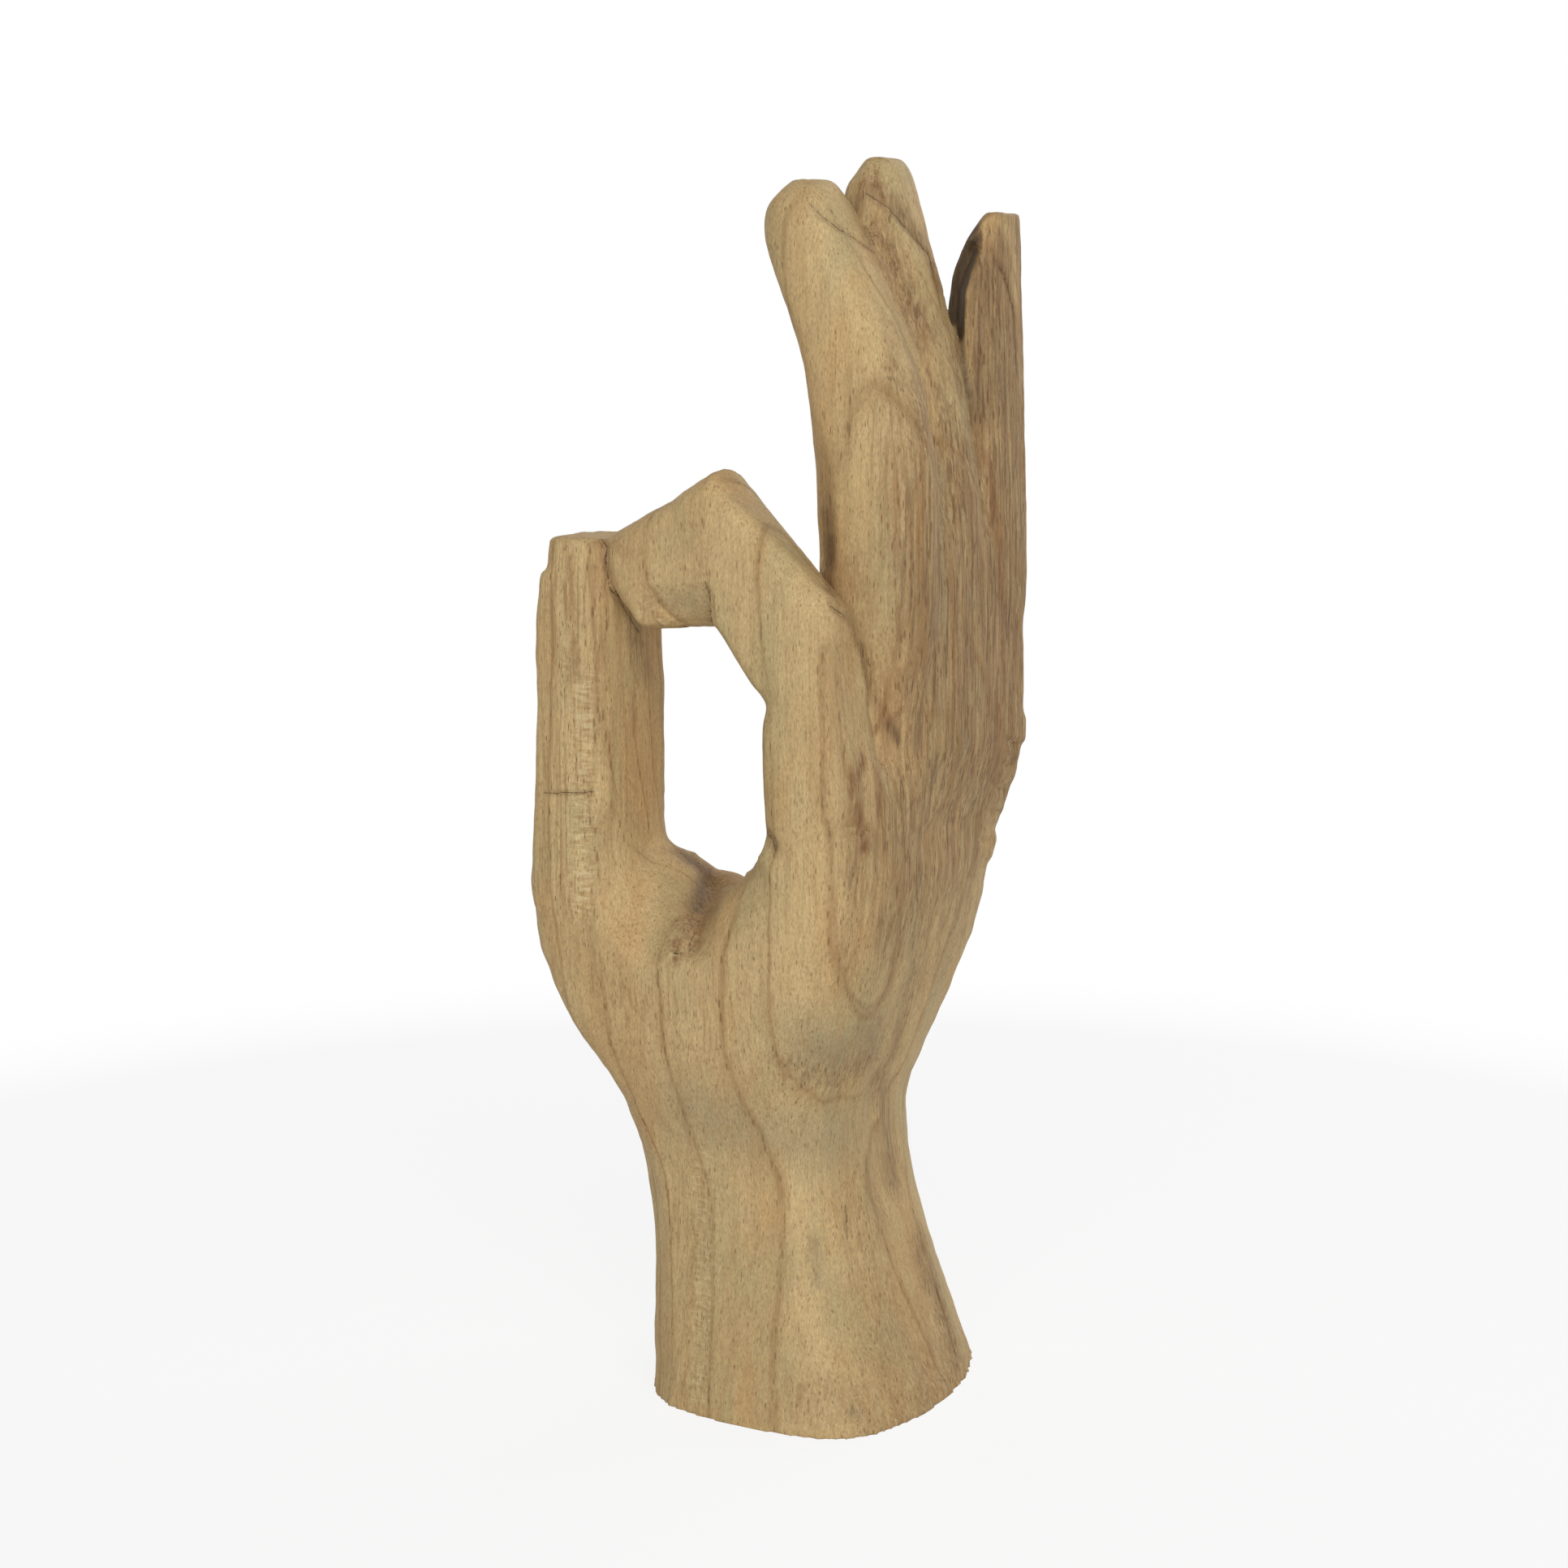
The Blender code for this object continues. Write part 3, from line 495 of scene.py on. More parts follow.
# How something fades in: the values where it starts and where it is full, and how much there is
# of it at both. The start may lie above the full value.
Fade = namedtuple("Fade", "start full least most", defaults=(0.0, 1.0))
PINK_FADE = Fade(0.42, 0.68, most=0.8)
GREEN_FADE = Fade(0.45, 0.7, most=0.8)
BACK_FADE = Fade(32.0 * MM, 47.0 * MM)
HEIGHT_FADE = Fade(60.0 * MM, 110.0 * MM, least=0.45, most=0.9)
STRIP_FADE = Fade(0.62, 0.42, least=0.6, most=1.05)
END_GRAIN_FADE = Fade(0.6, 0.95, most=0.35)
CHECK_FADE = Fade(0.47, 0.62, most=0.8)
FIBRE_FADE = Fade(0.47, 0.68, most=0.55)
STREAK_FADE = Fade(0.50, 0.68, most=0.42)
ORANGE_FADE = Fade(0.55, 0.75, most=0.5)
RAY_PALE_FADE = Fade(0.48, 0.62, most=0.7)
RAY_TAWNY_FADE = Fade(0.46, 0.34, most=0.6)
LATE_FADE = Fade(0.65, 1.0, most=0.12)
EARLY_FADE = Fade(0.07, 0.0, most=0.25)
THIN_LINE_FADE = Fade(0.89, 0.97)
LINE_PATCH_FADE = Fade(0.25, 0.6, least=0.13, most=0.51)
STAIN_FADE = Fade(0.35, 0.6, least=0.35)
CREASE_FADE = Fade(0.38, 0.05)
CREASE_END_FADE = Fade(1.4, 0.7)
CREASE_PATCH_FADE = Fade(0.25, 0.6, least=0.25, most=0.85)
CREASE_HALO_FADE = Fade(1.8, 0.0, most=0.25)

# What grows evenly with a value: the growth for a value of 1, and what there is at 0.
STREAKY_FIBRES = (0.95, 0.42)
FLECK_LIGHT = (0.55, 0.74)
SPECK_LIGHT = (0.55, 0.73)
THREAD_LIGHT = (0.5, 1.0)
LARGE_PORE_SIZE = (0.17, 0.17)
PORE_STRENGTH = (0.32, 0.36)
WOOD_ROUGHNESS = (0.14, 0.60)

# The rest of the finish, with lengths in metres. A second noise is taken from a moved place.
MOVED_BY = (0.31, 0.17, 0.05)
BACK_UNEVENNESS = 0.018
GREY_STRENGTH = 0.8
YEAR_UNEVENNESS = 0.04
SMALL_PORE_SIZE = 0.19
SMALL_PORE_STRENGTH = 0.7
PORE_EDGE = 0.5
MIDDLE_OF_NOISE = 0.5
FIBRE_RELIEF = 0.5
BUMP_STRENGTH = 0.5
BUMP_DISTANCE = 0.0003
WOOD_SPECULAR = 0.25

# The floor and the studio, in metres and watts: the light from all sides, and each lamp's name,
# place, width and power.
FLOOR_REACH = 6.0
FLOOR_FADE = Fade(0.05, 0.45)
FLOOR_LEAST_WHITE = 0.84
FLOOR_MATT = (0.9, 0.9, 0.9, 1.0)
WHITE = (1.0, 1.0, 1.0, 1.0)
EVEN_LIGHT = 0.17
HAND_MIDDLE = (0.0, 0.0, 0.14)
LAMPS = (
    ("front_lamp", (0.73, -1.04, 0.74), 1.5, 17.0),
    ("back_lamp", (0.3, 1.2, 0.9), 1.2, 8.0),
    ("palm_lamp", (-1.2, 0.5, 0.7), 1.2, 3.0),
)


def photo_axes():
    """The camera's right, up and backward directions, and the place of its lens."""
    backward = np.array([
        math.sin(CAMERA_TURN) * math.cos(CAMERA_RISE),
        -math.cos(CAMERA_TURN) * math.cos(CAMERA_RISE),
        math.sin(CAMERA_RISE),
    ])
    right = np.array([math.cos(CAMERA_TURN), math.sin(CAMERA_TURN), 0.0])
    up = np.cross(backward, right)
    return right, up, backward, CAMERA_AIM + CAMERA_DISTANCE * backward


def pixel_ray(pixel):
    """The direction in which the camera sees a pixel of the photograph."""
    right, up, backward, _ = photo_axes()
    across = (pixel[0] / PHOTO_WIDTH - 0.5) * SENSOR_WIDTH / LENS
    down = (pixel[1] / PHOTO_WIDTH - 0.5) * SENSOR_WIDTH / LENS
    return right * across - up * down - backward


def set_camera():
    """Stand the camera where the photograph was taken from."""
    lens = bpy.data.cameras.new("photo_camera")
    lens.lens = LENS
    lens.sensor_width = SENSOR_WIDTH
    lens.clip_start = NEAREST_SEEN * MM
    camera = bpy.data.objects.new("photo_camera", lens)
    _, _, backward, place = photo_axes()
    camera.location = Vector(place * MM)
    camera.rotation_euler = Vector(-backward).to_track_quat("-Z", "Y").to_euler()
    bpy.context.scene.collection.objects.link(camera)
    bpy.context.scene.camera = camera


def smoothing_rounds(reach):
    """How often neighbours are averaged to smooth the skin over a reach."""
    return max(1, int(2.0 * (reach / SKIN_GRAIN) ** 2))


def neighbour_mean(points, edges):
    """The mean place of each point's neighbours along the edges."""
    count = len(points)
    total = np.stack([
        np.bincount(edges[:, 0], points[edges[:, 1], axis], count)
        + np.bincount(edges[:, 1], points[edges[:, 0], axis], count)
        for axis in range(3)
    ], axis=1)
    return total / np.bincount(edges.ravel(), minlength=count)[:, None]


def bell(distance, width):
    """1 at the middle, falling softly to almost nothing at two widths."""
    return np.exp(-((distance / width) ** 2))


def ramp(values, start, rise):
    """0 up to the start, 1 from a rise above it, and even between them."""
    return np.clip((values - start) / rise, 0.0, 1.0)


def faded_ends(share, taper):
    """1 along a path, falling to 0 over a share of it at both ends."""
    return ramp(np.minimum(share, 1.0 - share), 0.0, taper)


class Skin:
    """The carved surface as arrays: points in millimetres, faces, and what is painted on them."""

    def __init__(self, mesh):
        self.points = np.empty(len(mesh.vertices) * 3)
        mesh.vertices.foreach_get("co", self.points)
        self.points = self.points.reshape(-1, 3) / MM
        edges = np.empty(len(mesh.edges) * 2, dtype=np.int64)
        mesh.edges.foreach_get("vertices", edges)
        self.edges = edges.reshape(-1, 2)
        self.faces = [tuple(face.vertices) for face in mesh.polygons]
        self.line_mm = np.full(len(self.points), NO_LINE)
        self.line_side = np.full(len(self.points), NO_LINE)
        self.painted = {label: np.zeros(len(self.points)) for label in PAINTED_PLACES}
        self.refresh()

    def refresh(self):
        """Bring the search tree and the normals up to date with the points."""
        self.tree = BVHTree.FromPolygons([Vector(p) for p in self.points], self.faces)
        corners = np.array([face if len(face) == 4 else face + face[-1:] for face in self.faces])
        first = self.points[corners[:, 2]] - self.points[corners[:, 0]]
        second = self.points[corners[:, 3]] - self.points[corners[:, 1]]
        face_normals = np.cross(first, second)
        self.normals = np.zeros_like(self.points)
        for corner in range(4):
            np.add.at(self.normals, corners[:, corner], face_normals)
        self.normals /= np.linalg.norm(self.normals, axis=1)[:, None] + TINY

    def soften(self, radius, share):
        """Round the surface over a radius, by a share of 0 to 1 at each point."""
        for _ in range(smoothing_rounds(radius)):
            moved = neighbour_mean(self.points, self.edges)
            self.points += (SOFTENING_STEP * share)[:, None] * (moved - self.points)

    def trace(self, pixels, spacing=FINE_SPACING):
        """Points on the wood along a path of pixels, and the normals there."""
        place = Vector(photo_axes()[3])
        found = []
        for start, end in zip(pixels[:-1], pixels[1:]):
            steps = max(2, int(math.dist(start, end) / TRACE_STEP))
            for step in range(steps + 1):
                pixel = [a + (b - a) * step / steps for a, b in zip(start, end)]
                hit, normal, _, _ = self.tree.ray_cast(place, Vector(pixel_ray(pixel)).normalized())
                if hit is not None and (not found or (hit - found[-1][0]).length > spacing):
                    found.append((hit, normal))
        return np.array([hit for hit, _ in found]), np.array([normal for _, normal in found])

    def beside(self, pixels, reach, turned=ROUND_AN_EDGE):
        """The points within reach of a path: their numbers, distances, sides and shares along it.

        A side is the distance to the right of the path, for one who walks it on the wood. Wood is
        left out where the cosine between its facing and the path's isn't above turned.
        """
        path, facing = self.trace(pixels, spacing=max(FINE_SPACING, reach / POINTS_IN_REACH))
        low = path.min(axis=0) - reach
        high = path.max(axis=0) + reach
        near = np.nonzero(np.all((self.points > low) & (self.points < high), axis=1))[0]
        offsets = self.points[near][:, None, :] - path[None, :, :]
        distances = np.linalg.norm(offsets, axis=2)
        closest = distances.argmin(axis=1)
        rows = np.arange(len(near))
        distance = distances[rows, closest]
        run = np.gradient(path, axis=0)
        across = np.cross(run, facing)
        across /= np.linalg.norm(across, axis=1)[:, None] + TINY
        side = np.einsum("ij,ij->i", offsets[rows, closest], across[closest])
        same_way = np.einsum("ij,ij->i", self.normals[near], facing[closest]) > turned
        keep = (distance < reach) & same_way
        return near[keep], distance[keep], side[keep], (closest / max(1, len(path) - 1))[keep]

    def groove(self, pixels, width, depth, taper=0.15, turned=ROUND_AN_EDGE):
        """Cut a soft V along a path, shallower at both ends."""
        chosen, distance, _, share = self.beside(pixels, GROOVE_WIDTHS * width + GROOVE_MARGIN, turned)
        full_depth = GROOVE_END_DEPTH + (1.0 - GROOVE_END_DEPTH) * faded_ends(share, taper)
        self.points[chosen] -= self.normals[chosen] * (depth * bell(distance, width) * full_depth)[:, None]

    def ridge(self, pixels, width, height):
        """Raise a sharp crest along a path, falling evenly to both sides."""
        chosen, distance, _, share = self.beside(pixels, width)
        shape = (1.0 - distance / width) * faded_ends(share, RIDGE_TAPER)
        self.points[chosen] += self.normals[chosen] * (height * shape)[:, None]

    def swell(self, pixels, width, height):
        """Raise or, with a negative height, sink the wood softly along a path."""
        chosen, distance, _, _ = self.beside(pixels, SWELL_WIDTHS * width)
        self.points[chosen] += self.normals[chosen] * (height * bell(distance, width))[:, None]

    def shift(self, pixels, reach, right_mm, up_mm):
        """Move all wood in line with a path sideways in the photograph, fading over a reach."""
        right, up, backward, place = photo_axes()
        away = self.points - place
        seen = CAMERA_DISTANCE * np.stack([away @ right, away @ up], axis=1) / -(away @ backward)[:, None]
        distance = np.full(len(seen), np.inf)
        for start, end in zip(pixels[:-1], pixels[1:]):
            for share in np.linspace(0.0, 1.0, int(math.dist(start, end) / SHIFT_STEP) + 2):
                pixel = [a + (b - a) * share for a, b in zip(start, end)]
                ray = CAMERA_DISTANCE * pixel_ray(pixel)
                distance = np.minimum(distance, np.hypot(seen[:, 0] - ray @ right, seen[:, 1] - ray @ up))
        self.points += bell(distance, reach)[:, None] * (right_mm * right + up_mm * up)

    def bevel(self, pixels, width, drop, fade, straight_back):
        """Slope the wood away on the right of a path, by drop at the width, then fade the slope out."""
        chosen, distance, side, share = self.beside(pixels, width + fade, turned=OVER_A_BEVEL)
        away = ramp(side, 0.0, width) * (1.0 - ramp(distance, width, fade))
        _, facing = self.trace(pixels)
        inward = -photo_axes()[2] if straight_back else -facing.mean(axis=0)
        self.points[chosen] += inward * (drop * away * faded_ends(share, BEVEL_TAPER))[:, None]

    def stretch_over(self, pixels, reach, turned=ROUND_AN_EDGE):
        """Let the wood near a path settle like a skin stretched over its surroundings."""
        chosen, distance, _, _ = self.beside(pixels, reach, turned)
        share = np.zeros(len(self.points))
        share[chosen] = 1.0 - ramp(distance, reach / 2.0, reach / 2.0)
        local = self.edges[(share[self.edges] > 0.0).any(axis=1)]
        members = np.unique(local)
        number = np.full(len(self.points), -1)
        number[members] = np.arange(len(members))
        local = number[local]
        points = self.points[members]
        share = share[members][:, None]
        for _ in range(smoothing_rounds(reach)):
            points += share * (neighbour_mean(points, local) - points)
        self.points[members] = points

    def line(self, pixels, thin):
        """Remember a dark line for the finish, and on which side of it each point lies."""
        chosen, distance, side, _ = self.beside(pixels, LINE_REACH)
        nearer = distance + thin < self.line_mm[chosen]
        chosen = chosen[nearer]
        self.line_mm[chosen] = distance[nearer] + thin
        self.line_side[chosen] = side[nearer] + thin * np.sign(side[nearer])

    def tint(self, label, pixels, width, strength):
        """Paint one of the layers softly along a path."""
        only_palm_side = label == "palm_side_shade"
        turned = ALL_ROUND if only_palm_side else SAME_FACE
        chosen, distance, _, _ = self.beside(pixels, PAINT_WIDTHS * width, turned)
        amount = np.minimum(FULL_PAINT, strength * bell(distance, width))
        if only_palm_side:
            amount *= ramp(-self.normals[chosen, 0], PALM_SIDE_START, PALM_SIDE_FADE)
        layer = self.painted[label]
        layer[chosen] = np.maximum(layer[chosen], amount)

    def roughen(self, depth, size, share):
        """Leave the unevenness of hand tools, as smooth noise of a size along each axis."""
        for number in np.nonzero(share > 0.0)[0]:
            spot = Vector(self.points[number] / size)
            uneven = noise.noise(spot) + FINER_HEIGHT * noise.noise(FINER_MARKS * spot)
            self.points[number] += self.normals[number] * (depth * share[number] * uneven)

    def to_mesh(self, name):
        """The skin as a Blender mesh in metres, with its painted values."""
        mesh = bpy.data.meshes.new(name)
        mesh.from_pydata((self.points * MM).tolist(), [], self.faces)
        mesh.shade_smooth()
        for label, values in (
            ("growth_year", growth_year(self)),
            ("line_mm", self.line_mm),
            ("line_side", self.line_side),
            ("end_grain", np.abs(self.normals[:, 2])),
            *self.painted.items(),
        ):
            layer = mesh.attributes.new(label, "FLOAT", "POINT")
            layer.data.foreach_set("value", values.astype(np.float32))
        return mesh


def trunk_radius(points):
    """Distance from the slightly bent pith of the trunk."""
    height = (points[:, 2] - PITH_HEIGHT) / PITH_STEP
    pith_x = PITH_X[0] + PITH_X[1] * height + PITH_X[2] * height ** 2
    pith_y = PITH_Y[0] + PITH_Y[1] * height + PITH_Y[2] * height ** 2
    return np.hypot(points[:, 0] - pith_x, points[:, 1] - pith_y)


def growth_year(skin):
    """The number of the growth ring at each point, bent so that the lines pass where they are seen."""
    seen = []
    missing = []
    for radius, pixels in RING_LINES:
        path, _ = skin.trace(pixels, spacing=RING_FIT_SPACING)
        seen.append(path)
        missing.append(radius - trunk_radius(path))
    seen = np.concatenate(seen)
    missing = np.concatenate(missing)
    stretch = RING_FIT_SHAPE / RING_FIT_REACH
    apart = np.linalg.norm((seen[:, None] - seen[None]) * stretch, axis=2)
    pull = np.linalg.solve(bell(apart, 1.0) + RING_FIT_SLACK * np.eye(len(seen)), missing)
    bend = np.zeros(len(skin.points))
    for place, weight in zip(seen, pull):
        gap = np.linalg.norm((skin.points - place) * stretch, axis=1)
        bend += weight * bell(gap, 1.0)
    return np.interp(trunk_radius(skin.points) + bend, RING_RADII, np.arange(len(RING_RADII)))


def fine_skin():
    """Cover the CAD block with an even fine skin and soften the machine-cut edges."""
    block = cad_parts[WOOD_NODE]
    cover = bpy.data.objects.new("cover", block.data.copy())
    bpy.context.scene.collection.objects.link(cover)
    remesh = cover.modifiers.new("even_skin", "REMESH")
    remesh.mode = "VOXEL"
    remesh.voxel_size = SKIN_GRAIN * MM
    depsgraph = bpy.context.evaluated_depsgraph_get()
    mesh = bpy.data.meshes.new_from_object(cover.evaluated_get(depsgraph))
    bpy.data.objects.remove(cover)
    skin = Skin(mesh)
    off_the_foot = ramp(skin.points[:, 2], SOFT_FROM_HEIGHT, SOFT_WITHIN)
    skin.soften(SKIN_SOFTENING, off_the_foot)
    skin.refresh()
    return skin


def settle(skin):
    """Round the hollows that a carver leaves soft, and bring the outline to the photograph's."""
    skin.stretch_over(THUMB_ROOT_ROLL, THUMB_ROOT_REACH)
    skin.refresh()
    for pixels, reach, turned in SOFT_PLACES:
        skin.stretch_over(pixels, reach, turned)
    skin.refresh()
    for pixels, reach, right_mm, up_mm in OUTLINE_MOVES:
        skin.shift(pixels, reach, right_mm, up_mm)
    skin.refresh()


def knife_work(skin):
    """Cut the web's valley, the bevels, crests, creases, nicks and nail lines into the skin."""
    skin.swell(WEB_VALLEY, WEB_VALLEY_WIDTH, -WEB_VALLEY_DEPTH)
    for pixels, width, drop, fade, straight_back in BEVELS:
        skin.bevel(pixels, width, drop, fade, straight_back)
    for pixels, height in RIDGES:
        skin.ridge(pixels, RIDGE_WIDTH, height)
    skin.refresh()
    above_the_foot = ramp(skin.points[:, 2], TOOL_MARKS_FROM, TOOL_MARKS_WITHIN)
    skin.roughen(TOOL_MARK_DEPTH, TOOL_MARK_SIZE, above_the_foot)
    off_the_sole = ramp(skin.normals[:, 2], SOLE_NORMAL, SOLE_FADE)
    near_the_rim = 1.0 - ramp(skin.points[:, 2], 0.0, RIM_MARK_HEIGHT)
    skin.roughen(RIM_MARK_DEPTH, RIM_MARK_SIZE, off_the_sole * near_the_rim)
    for pixels, width, depth in GROOVES:
        skin.groove(pixels, width, depth)
    for nick in FINGER_NICKS:
        skin.groove(nick, width=0.6, depth=0.5)
    for nick in RIM_NICKS:
        skin.groove(nick, width=0.8, depth=0.8, taper=0.4, turned=OVER_THE_RIM)
    for step in BACK_EDGE_STEPS:
        skin.groove(step, width=0.9, depth=0.9, taper=0.3, turned=OVER_THE_BACK_EDGE)
    skin.refresh()


def weathering(skin):
    """Paint the dark lines and every layer of the painted places."""
    for thin, paths in DARK_LINES:
        for pixels in paths:
            skin.line(pixels, thin)
    for label, places in PAINTED_PLACES.items():
        for pixels, width, strength in places:
            skin.tint(label, pixels, width, strength)


def put(node, label, value):
    """Link a socket, or set a value, on the input with this name or number."""
    socket = node.inputs[label]
    if isinstance(value, bpy.types.NodeSocket):
        node.id_data.links.new(value, socket)
    else:
        socket.default_value = value


def empty_tree(owner):
    """The node tree of a material or a world, with nothing in it."""
    owner.use_nodes = True
    owner.node_tree.nodes.clear()
    return owner.node_tree


def math_node(tree, operation, *values):
    """A Math node over sockets and numbers."""
    node = tree.nodes.new("ShaderNodeMath")
    node.operation = operation
    for number, value in enumerate(values):
        put(node, number, value)
    return node.outputs[0]


def times(tree, first, second):
    """Two values multiplied."""
    return math_node(tree, "MULTIPLY", first, second)


def larger(tree, first, second):
    """The larger of two values."""
    return math_node(tree, "MAXIMUM", first, second)


def grown(tree, value, growth, start):
    """A value times its growth, plus what there is at 0."""
    return math_node(tree, "MULTIPLY_ADD", value, growth, start)


def vector_node(tree, operation, first, label, second):
    """A Vector Math node over a vector and what goes into another of its inputs."""
    node = tree.nodes.new("ShaderNodeVectorMath")
    node.operation = operation
    put(node, 0, first)
    put(node, label, second)
    return node.outputs[0]


def faded(tree, value, fade):
    """How much of something there is at a value, by its fade."""
    node = tree.nodes.new("ShaderNodeMapRange")
    node.interpolation_type = "SMOOTHSTEP"
    for number, amount in enumerate((value, *fade)):
        put(node, number, amount)
    return node.outputs[0]


def mixed(tree, share, first, second):
    """A colour between two others, whose inputs on a Mix node are 6 and 7."""
    node = tree.nodes.new("ShaderNodeMix")
    node.data_type = "RGBA"
    put(node, 0, share)
    put(node, 6, first)
    put(node, 7, second)
    return node.outputs[2]


def feature_sizes(tree, place, figure):
    """A place counted in breadths and lengths of a wood feature."""
    breadths = 1.0 / (figure.breadth * MM)
    lengths = 1.0 / (figure.length * MM)
    return vector_node(tree, "MULTIPLY", place, 1, (breadths, breadths, lengths))


def noise_node(tree, place, figure):
    """Noise between 0 and 1 with the sizes of a wood feature."""
    node = tree.nodes.new("ShaderNodeTexNoise")
    put(node, "Vector", feature_sizes(tree, place, figure))
    put(node, "Scale", 1.0)
    put(node, "Detail", figure.detail)
    put(node, "Roughness", figure.roughness)
    return node.outputs["Fac"]


def pore_node(tree, place, figure, size):
    """Open pores of a size beside their spacing: long cells along the grain, dots on end grain."""
    node = tree.nodes.new("ShaderNodeTexVoronoi")
    put(node, "Vector", feature_sizes(tree, place, figure))
    put(node, "Scale", 1.0)
    return faded(tree, node.outputs["Distance"], Fade(size, times(tree, size, PORE_EDGE)))


def painted(tree, label):
    """A value painted on the skin."""
    node = tree.nodes.new("ShaderNodeAttribute")
    node.attribute_name = label
    return node.outputs["Fac"]


def not_painted(tree, label):
    """1 where nothing is painted, falling to 0 where a layer is at its strongest."""
    return math_node(tree, "SUBTRACT", 1.0, painted(tree, label))


def fresh_wood(tree, place, moved):
    """The colour of pale wood with pinkish and greenish patches."""
    pink = faded(tree, noise_node(tree, place, PINK_PATCH), PINK_FADE)
    green = faded(tree, noise_node(tree, moved, GREEN_PATCH), GREEN_FADE)
    return mixed(tree, green, mixed(tree, pink, PALE_WOOD, PINK_WOOD), GREEN_WOOD)


def browning_and_shade(tree, place):
    """How much brown wood and painted shade: on the back of the hand and where painted, but not where
    fresh.
    """
    axes = tree.nodes.new("ShaderNodeSeparateXYZ")
    put(axes, 0, place)
    uneven = times(tree, noise_node(tree, place, WEATHERED_STREAK), BACK_UNEVENNESS)
    back = faded(tree, math_node(tree, "ADD", axes.outputs[0], uneven), BACK_FADE)
    back = times(tree, back, faded(tree, axes.outputs[2], HEIGHT_FADE))
    return times(tree, larger(tree, back, painted(tree, "brown_and_shade")), not_painted(tree, "fresh"))


def weathered(tree, place, moved, colour, brown_and_shade):
    """The colour with brown strips and grey places, some of them painted shade, darker end grain and short
    dark checks.
    """
    strips = faded(tree, noise_node(tree, moved, BROWN_STRIP), STRIP_FADE)
    colour = mixed(tree, times(tree, brown_and_shade, strips), colour, BROWN_WOOD_AND_SHADE)
    colour = mixed(tree, times(tree, painted(tree, "grey_and_shade"), GREY_STRENGTH), colour, GREY_WOOD_AND_SHADE)
    colour = mixed(tree, faded(tree, painted(tree, "end_grain"), END_GRAIN_FADE), colour, END_GRAIN_BROWN)
    check = faded(tree, noise_node(tree, place, SHORT_CHECK), CHECK_FADE)
    return mixed(tree, times(tree, check, brown_and_shade), colour, CHECK_BROWN)


def fibrous(tree, place, moved, colour, fibre, streaky):
    """The colour with brown threads, broad streaks and small orange specks."""
    threads = times(tree, faded(tree, fibre, FIBRE_FADE), streaky)
    colour = mixed(tree, threads, colour, FIBRE_BROWN)
    bands = times(tree, faded(tree, noise_node(tree, place, BROAD_STREAK), STREAK_FADE), streaky)
    colour = mixed(tree, bands, colour, FIBRE_BROWN)
    orange = faded(tree, noise_node(tree, moved, ORANGE_SPECK), ORANGE_FADE)
    return mixed(tree, orange, colour, FIBRE_BROWN)


def ray_flecked(tree, place, colour):
    """The colour with the pale and tawny ripples of ray flecks."""
    ripple = noise_node(tree, place, RAY_RIPPLE)
    flecked = painted(tree, "flecked")
    colour = mixed(tree, times(tree, flecked, faded(tree, ripple, RAY_PALE_FADE)), colour, RAY_PALE)
    return mixed(tree, times(tree, flecked, faded(tree, ripple, RAY_TAWNY_FADE)), colour, FIBRE_BROWN)


def speckled(tree, place, moved, colour, fibre, streaky):
    """The colour made lighter and darker by fine flecks, specks and threads."""
    fleck = grown(tree, noise_node(tree, moved, FLECK), *FLECK_LIGHT)
    speck = grown(tree, noise_node(tree, place, SPECK), *SPECK_LIGHT)
    thread = times(tree, math_node(tree, "SUBTRACT", MIDDLE_OF_NOISE, fibre), streaky)
    light = times(tree, times(tree, fleck, speck), grown(tree, thread, *THREAD_LIGHT))
    return vector_node(tree, "SCALE", colour, "Scale", light)


def ringed(tree, place, colour):
    """The colour with the lines of the growth rings, and the share of their thin line."""
    wobble = times(tree, noise_node(tree, place, YEAR_WOBBLE), YEAR_UNEVENNESS)
    part = math_node(tree, "FRACT", math_node(tree, "ADD", painted(tree, "growth_year"), wobble))
    late = faded(tree, part, LATE_FADE)
    early = faded(tree, part, EARLY_FADE)
    thin = faded(tree, part, THIN_LINE_FADE)
    strong = faded(tree, noise_node(tree, place, LINE_PATCH), LINE_PATCH_FADE)
    line = larger(tree, larger(tree, late, times(tree, thin, strong)), early)
    return mixed(tree, times(tree, line, not_painted(tree, "plain")), colour, LATE_WOOD), thin


def open_pores(tree, place, moved, brown_and_shade, thin):
    """Large pores, wider in brown wood, painted shade and ring lines, and small ones between them."""
    size = grown(tree, larger(tree, brown_and_shade, thin), *LARGE_PORE_SIZE)
    small = times(tree, pore_node(tree, moved, SMALL_PORE, SMALL_PORE_SIZE), SMALL_PORE_STRENGTH)
    return larger(tree, pore_node(tree, place, LARGE_PORE, size), small)


def stained(tree, place, colour):
    """The colour with dark marks, painted shade in hollows and gaps, and reddish stains."""
    dark = larger(tree, painted(tree, "dark"), painted(tree, "palm_side_shade"))
    colour = mixed(tree, dark, colour, DARK_MARK_AND_SHADE)
    patchy = faded(tree, noise_node(tree, place, STAIN_PATCH), STAIN_FADE)
    return mixed(tree, times(tree, painted(tree, "stain"), patchy), colour, STAIN_RED)


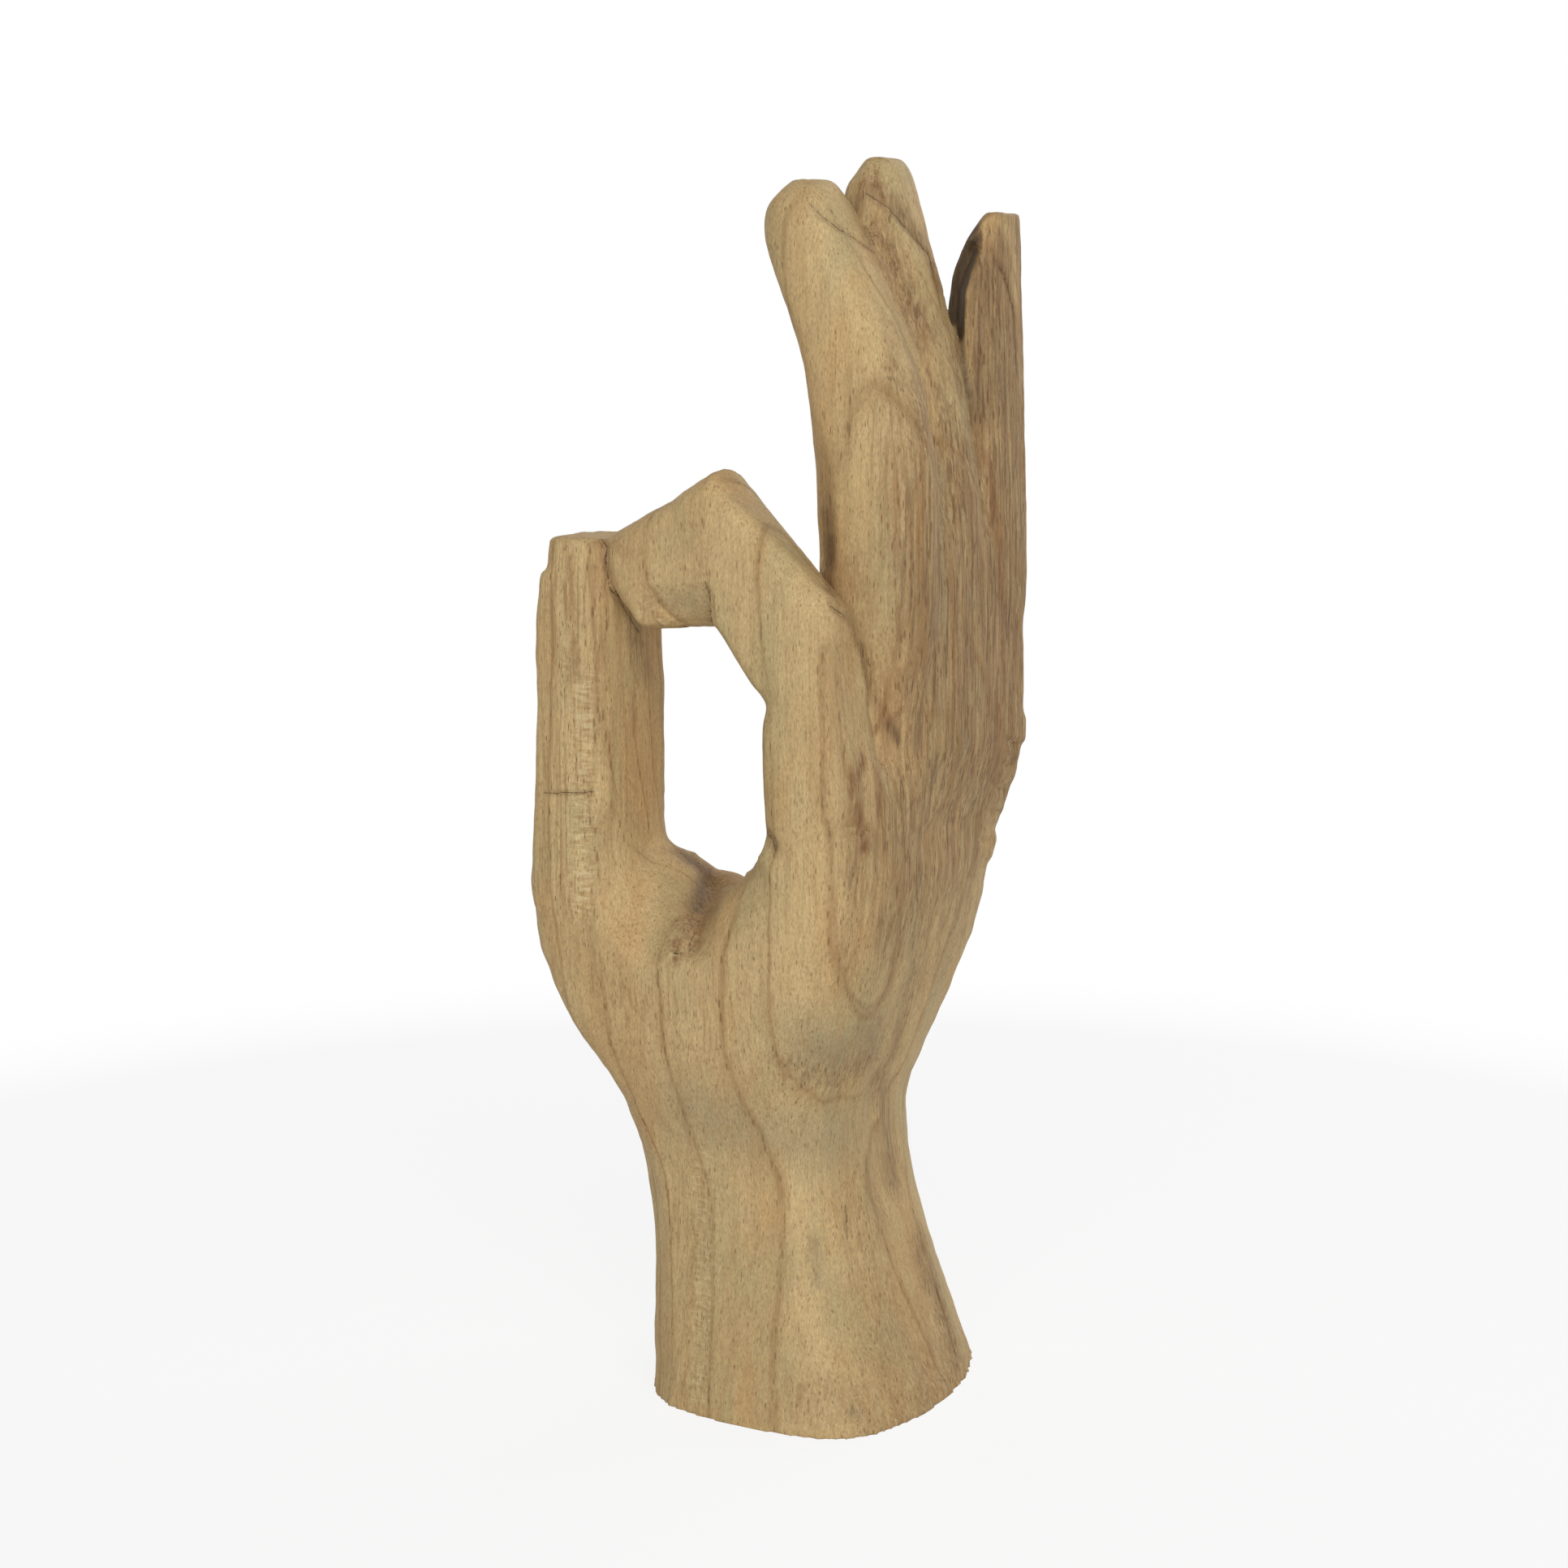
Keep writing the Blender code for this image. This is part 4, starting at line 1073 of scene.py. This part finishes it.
def creased(tree, place, colour):
    """The colour with broken dark lines in creases, cracks and seams, a painted shadow line where the
    index finger's tip meets the thumb, and a faint halo.
    """
    line_mm = painted(tree, "line_mm")
    off_line = math_node(tree, "ABSOLUTE", painted(tree, "line_side"))
    line = times(tree, faded(tree, off_line, CREASE_FADE), faded(tree, line_mm, CREASE_END_FADE))
    broken = faded(tree, noise_node(tree, place, CREASE_PATCH), CREASE_PATCH_FADE)
    halo = faded(tree, line_mm, CREASE_HALO_FADE)
    return mixed(tree, larger(tree, times(tree, line, broken), halo), colour, CREASE_AND_GAP_SHADOW_BROWN)


def pale_hardwood():
    """Sanded, unvarnished hardwood with growth rings, upright fibres and open pores, and painted shade in
    hollows and gaps.
    """
    material = bpy.data.materials.new("pale_hardwood")
    tree = empty_tree(material)
    place = tree.nodes.new("ShaderNodeTexCoord").outputs["Object"]
    moved = vector_node(tree, "ADD", place, 1, MOVED_BY)

    brown_and_shade = browning_and_shade(tree, place)
    streaky = grown(tree, larger(tree, painted(tree, "streaky"), brown_and_shade), *STREAKY_FIBRES)
    fibre = noise_node(tree, place, FIBRE)
    colour = weathered(tree, place, moved, fresh_wood(tree, place, moved), brown_and_shade)
    colour = fibrous(tree, place, moved, colour, fibre, streaky)
    colour = ray_flecked(tree, place, colour)
    colour = speckled(tree, place, moved, colour, fibre, streaky)
    colour, thin = ringed(tree, place, colour)
    pore = open_pores(tree, place, moved, brown_and_shade, thin)
    colour = mixed(tree, times(tree, pore, grown(tree, streaky, *PORE_STRENGTH)), colour, PORE_BROWN)
    colour = creased(tree, place, stained(tree, place, colour))

    bump = tree.nodes.new("ShaderNodeBump")
    put(bump, "Strength", BUMP_STRENGTH)
    put(bump, "Distance", BUMP_DISTANCE)
    put(bump, "Height", math_node(tree, "SUBTRACT", times(tree, fibre, FIBRE_RELIEF), pore))
    wood = tree.nodes.new("ShaderNodeBsdfPrincipled")
    put(wood, "Base Color", colour)
    put(wood, "Roughness", grown(tree, fibre, *WOOD_ROUGHNESS))
    put(wood, "Specular IOR Level", WOOD_SPECULAR)
    put(wood, "Normal", bump.outputs[0])
    finish = tree.nodes.new("ShaderNodeOutputMaterial")
    put(finish, "Surface", wood.outputs[0])
    return material


def carved_hand():
    """The hand itself, one piece of wood."""
    skin = fine_skin()
    settle(skin)
    knife_work(skin)
    weathering(skin)
    low = np.array(cad_box[0]) / MM
    high = np.array(cad_box[1]) / MM
    skin.points = np.clip(skin.points, low, high)
    piece = bpy.data.objects.new("carved_hand_skin", skin.to_mesh("carved_hand_skin"))
    piece.data.materials.append(pale_hardwood())
    bpy.context.scene.collection.objects.link(piece)
    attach(piece, "root")
    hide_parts(WOOD_NODE)


def seen_directly(tree):
    """1 for what the camera sees directly, mirrored or through glass."""
    path = tree.nodes.new("ShaderNodeLightPath")
    seen = larger(tree, path.outputs["Is Camera Ray"], path.outputs["Is Glossy Ray"])
    return larger(tree, seen, path.outputs["Is Transmission Ray"])


def floor_white():
    """Matt white that keeps a soft shadow, and shines where it is seen away from the hand."""
    material = bpy.data.materials.new("floor_white")
    tree = empty_tree(material)
    length = tree.nodes.new("ShaderNodeVectorMath")
    length.operation = "LENGTH"
    put(length, 0, tree.nodes.new("ShaderNodeTexCoord").outputs["Object"])
    away = larger(tree, faded(tree, length.outputs["Value"], FLOOR_FADE), FLOOR_LEAST_WHITE)
    matt = tree.nodes.new("ShaderNodeBsdfDiffuse")
    put(matt, "Color", FLOOR_MATT)
    white = tree.nodes.new("ShaderNodeEmission")
    mix = tree.nodes.new("ShaderNodeMixShader")
    put(mix, 0, times(tree, away, seen_directly(tree)))
    put(mix, 1, matt.outputs[0])
    put(mix, 2, white.outputs[0])
    finish = tree.nodes.new("ShaderNodeOutputMaterial")
    put(finish, "Surface", mix.outputs[0])
    return material


def pale_floor():
    """A plain pale floor under the hand."""
    corners = [(x * FLOOR_REACH, y * FLOOR_REACH, 0.0) for x, y in ((-1, -1), (1, -1), (1, 1), (-1, 1))]
    mesh = bpy.data.meshes.new("floor")
    mesh.from_pydata(corners, [], [(0, 1, 2, 3)])
    mesh.materials.append(floor_white())
    floor = bpy.data.objects.new("floor", mesh)
    bpy.context.scene.collection.objects.link(floor)


def lamp(name, place, width, watts):
    """A soft square studio lamp that shines on the middle of the hand."""
    light = bpy.data.lights.new(name, "AREA")
    light.size = width
    light.energy = watts
    stand = bpy.data.objects.new(name, light)
    stand.location = place
    stand.rotation_euler = (Vector(HAND_MIDDLE) - Vector(place)).to_track_quat("-Z", "Y").to_euler()
    bpy.context.scene.collection.objects.link(stand)


def studio_light():
    """Faint light from all sides, one broad soft lamp in front and two weaker ones behind."""
    world = bpy.data.worlds.new("studio")
    tree = empty_tree(world)
    glow = tree.nodes.new("ShaderNodeBackground")
    put(glow, "Color", WHITE)
    put(glow, "Strength", larger(tree, seen_directly(tree), EVEN_LIGHT))
    finish = tree.nodes.new("ShaderNodeOutputWorld")
    put(finish, "Surface", glow.outputs[0])
    bpy.context.scene.world = world
    for name, place, width, watts in LAMPS:
        lamp(name, place, width, watts)


set_camera()
studio_light()
pale_floor()
carved_hand()
bpy.context.scene.view_settings.view_transform = "Standard"
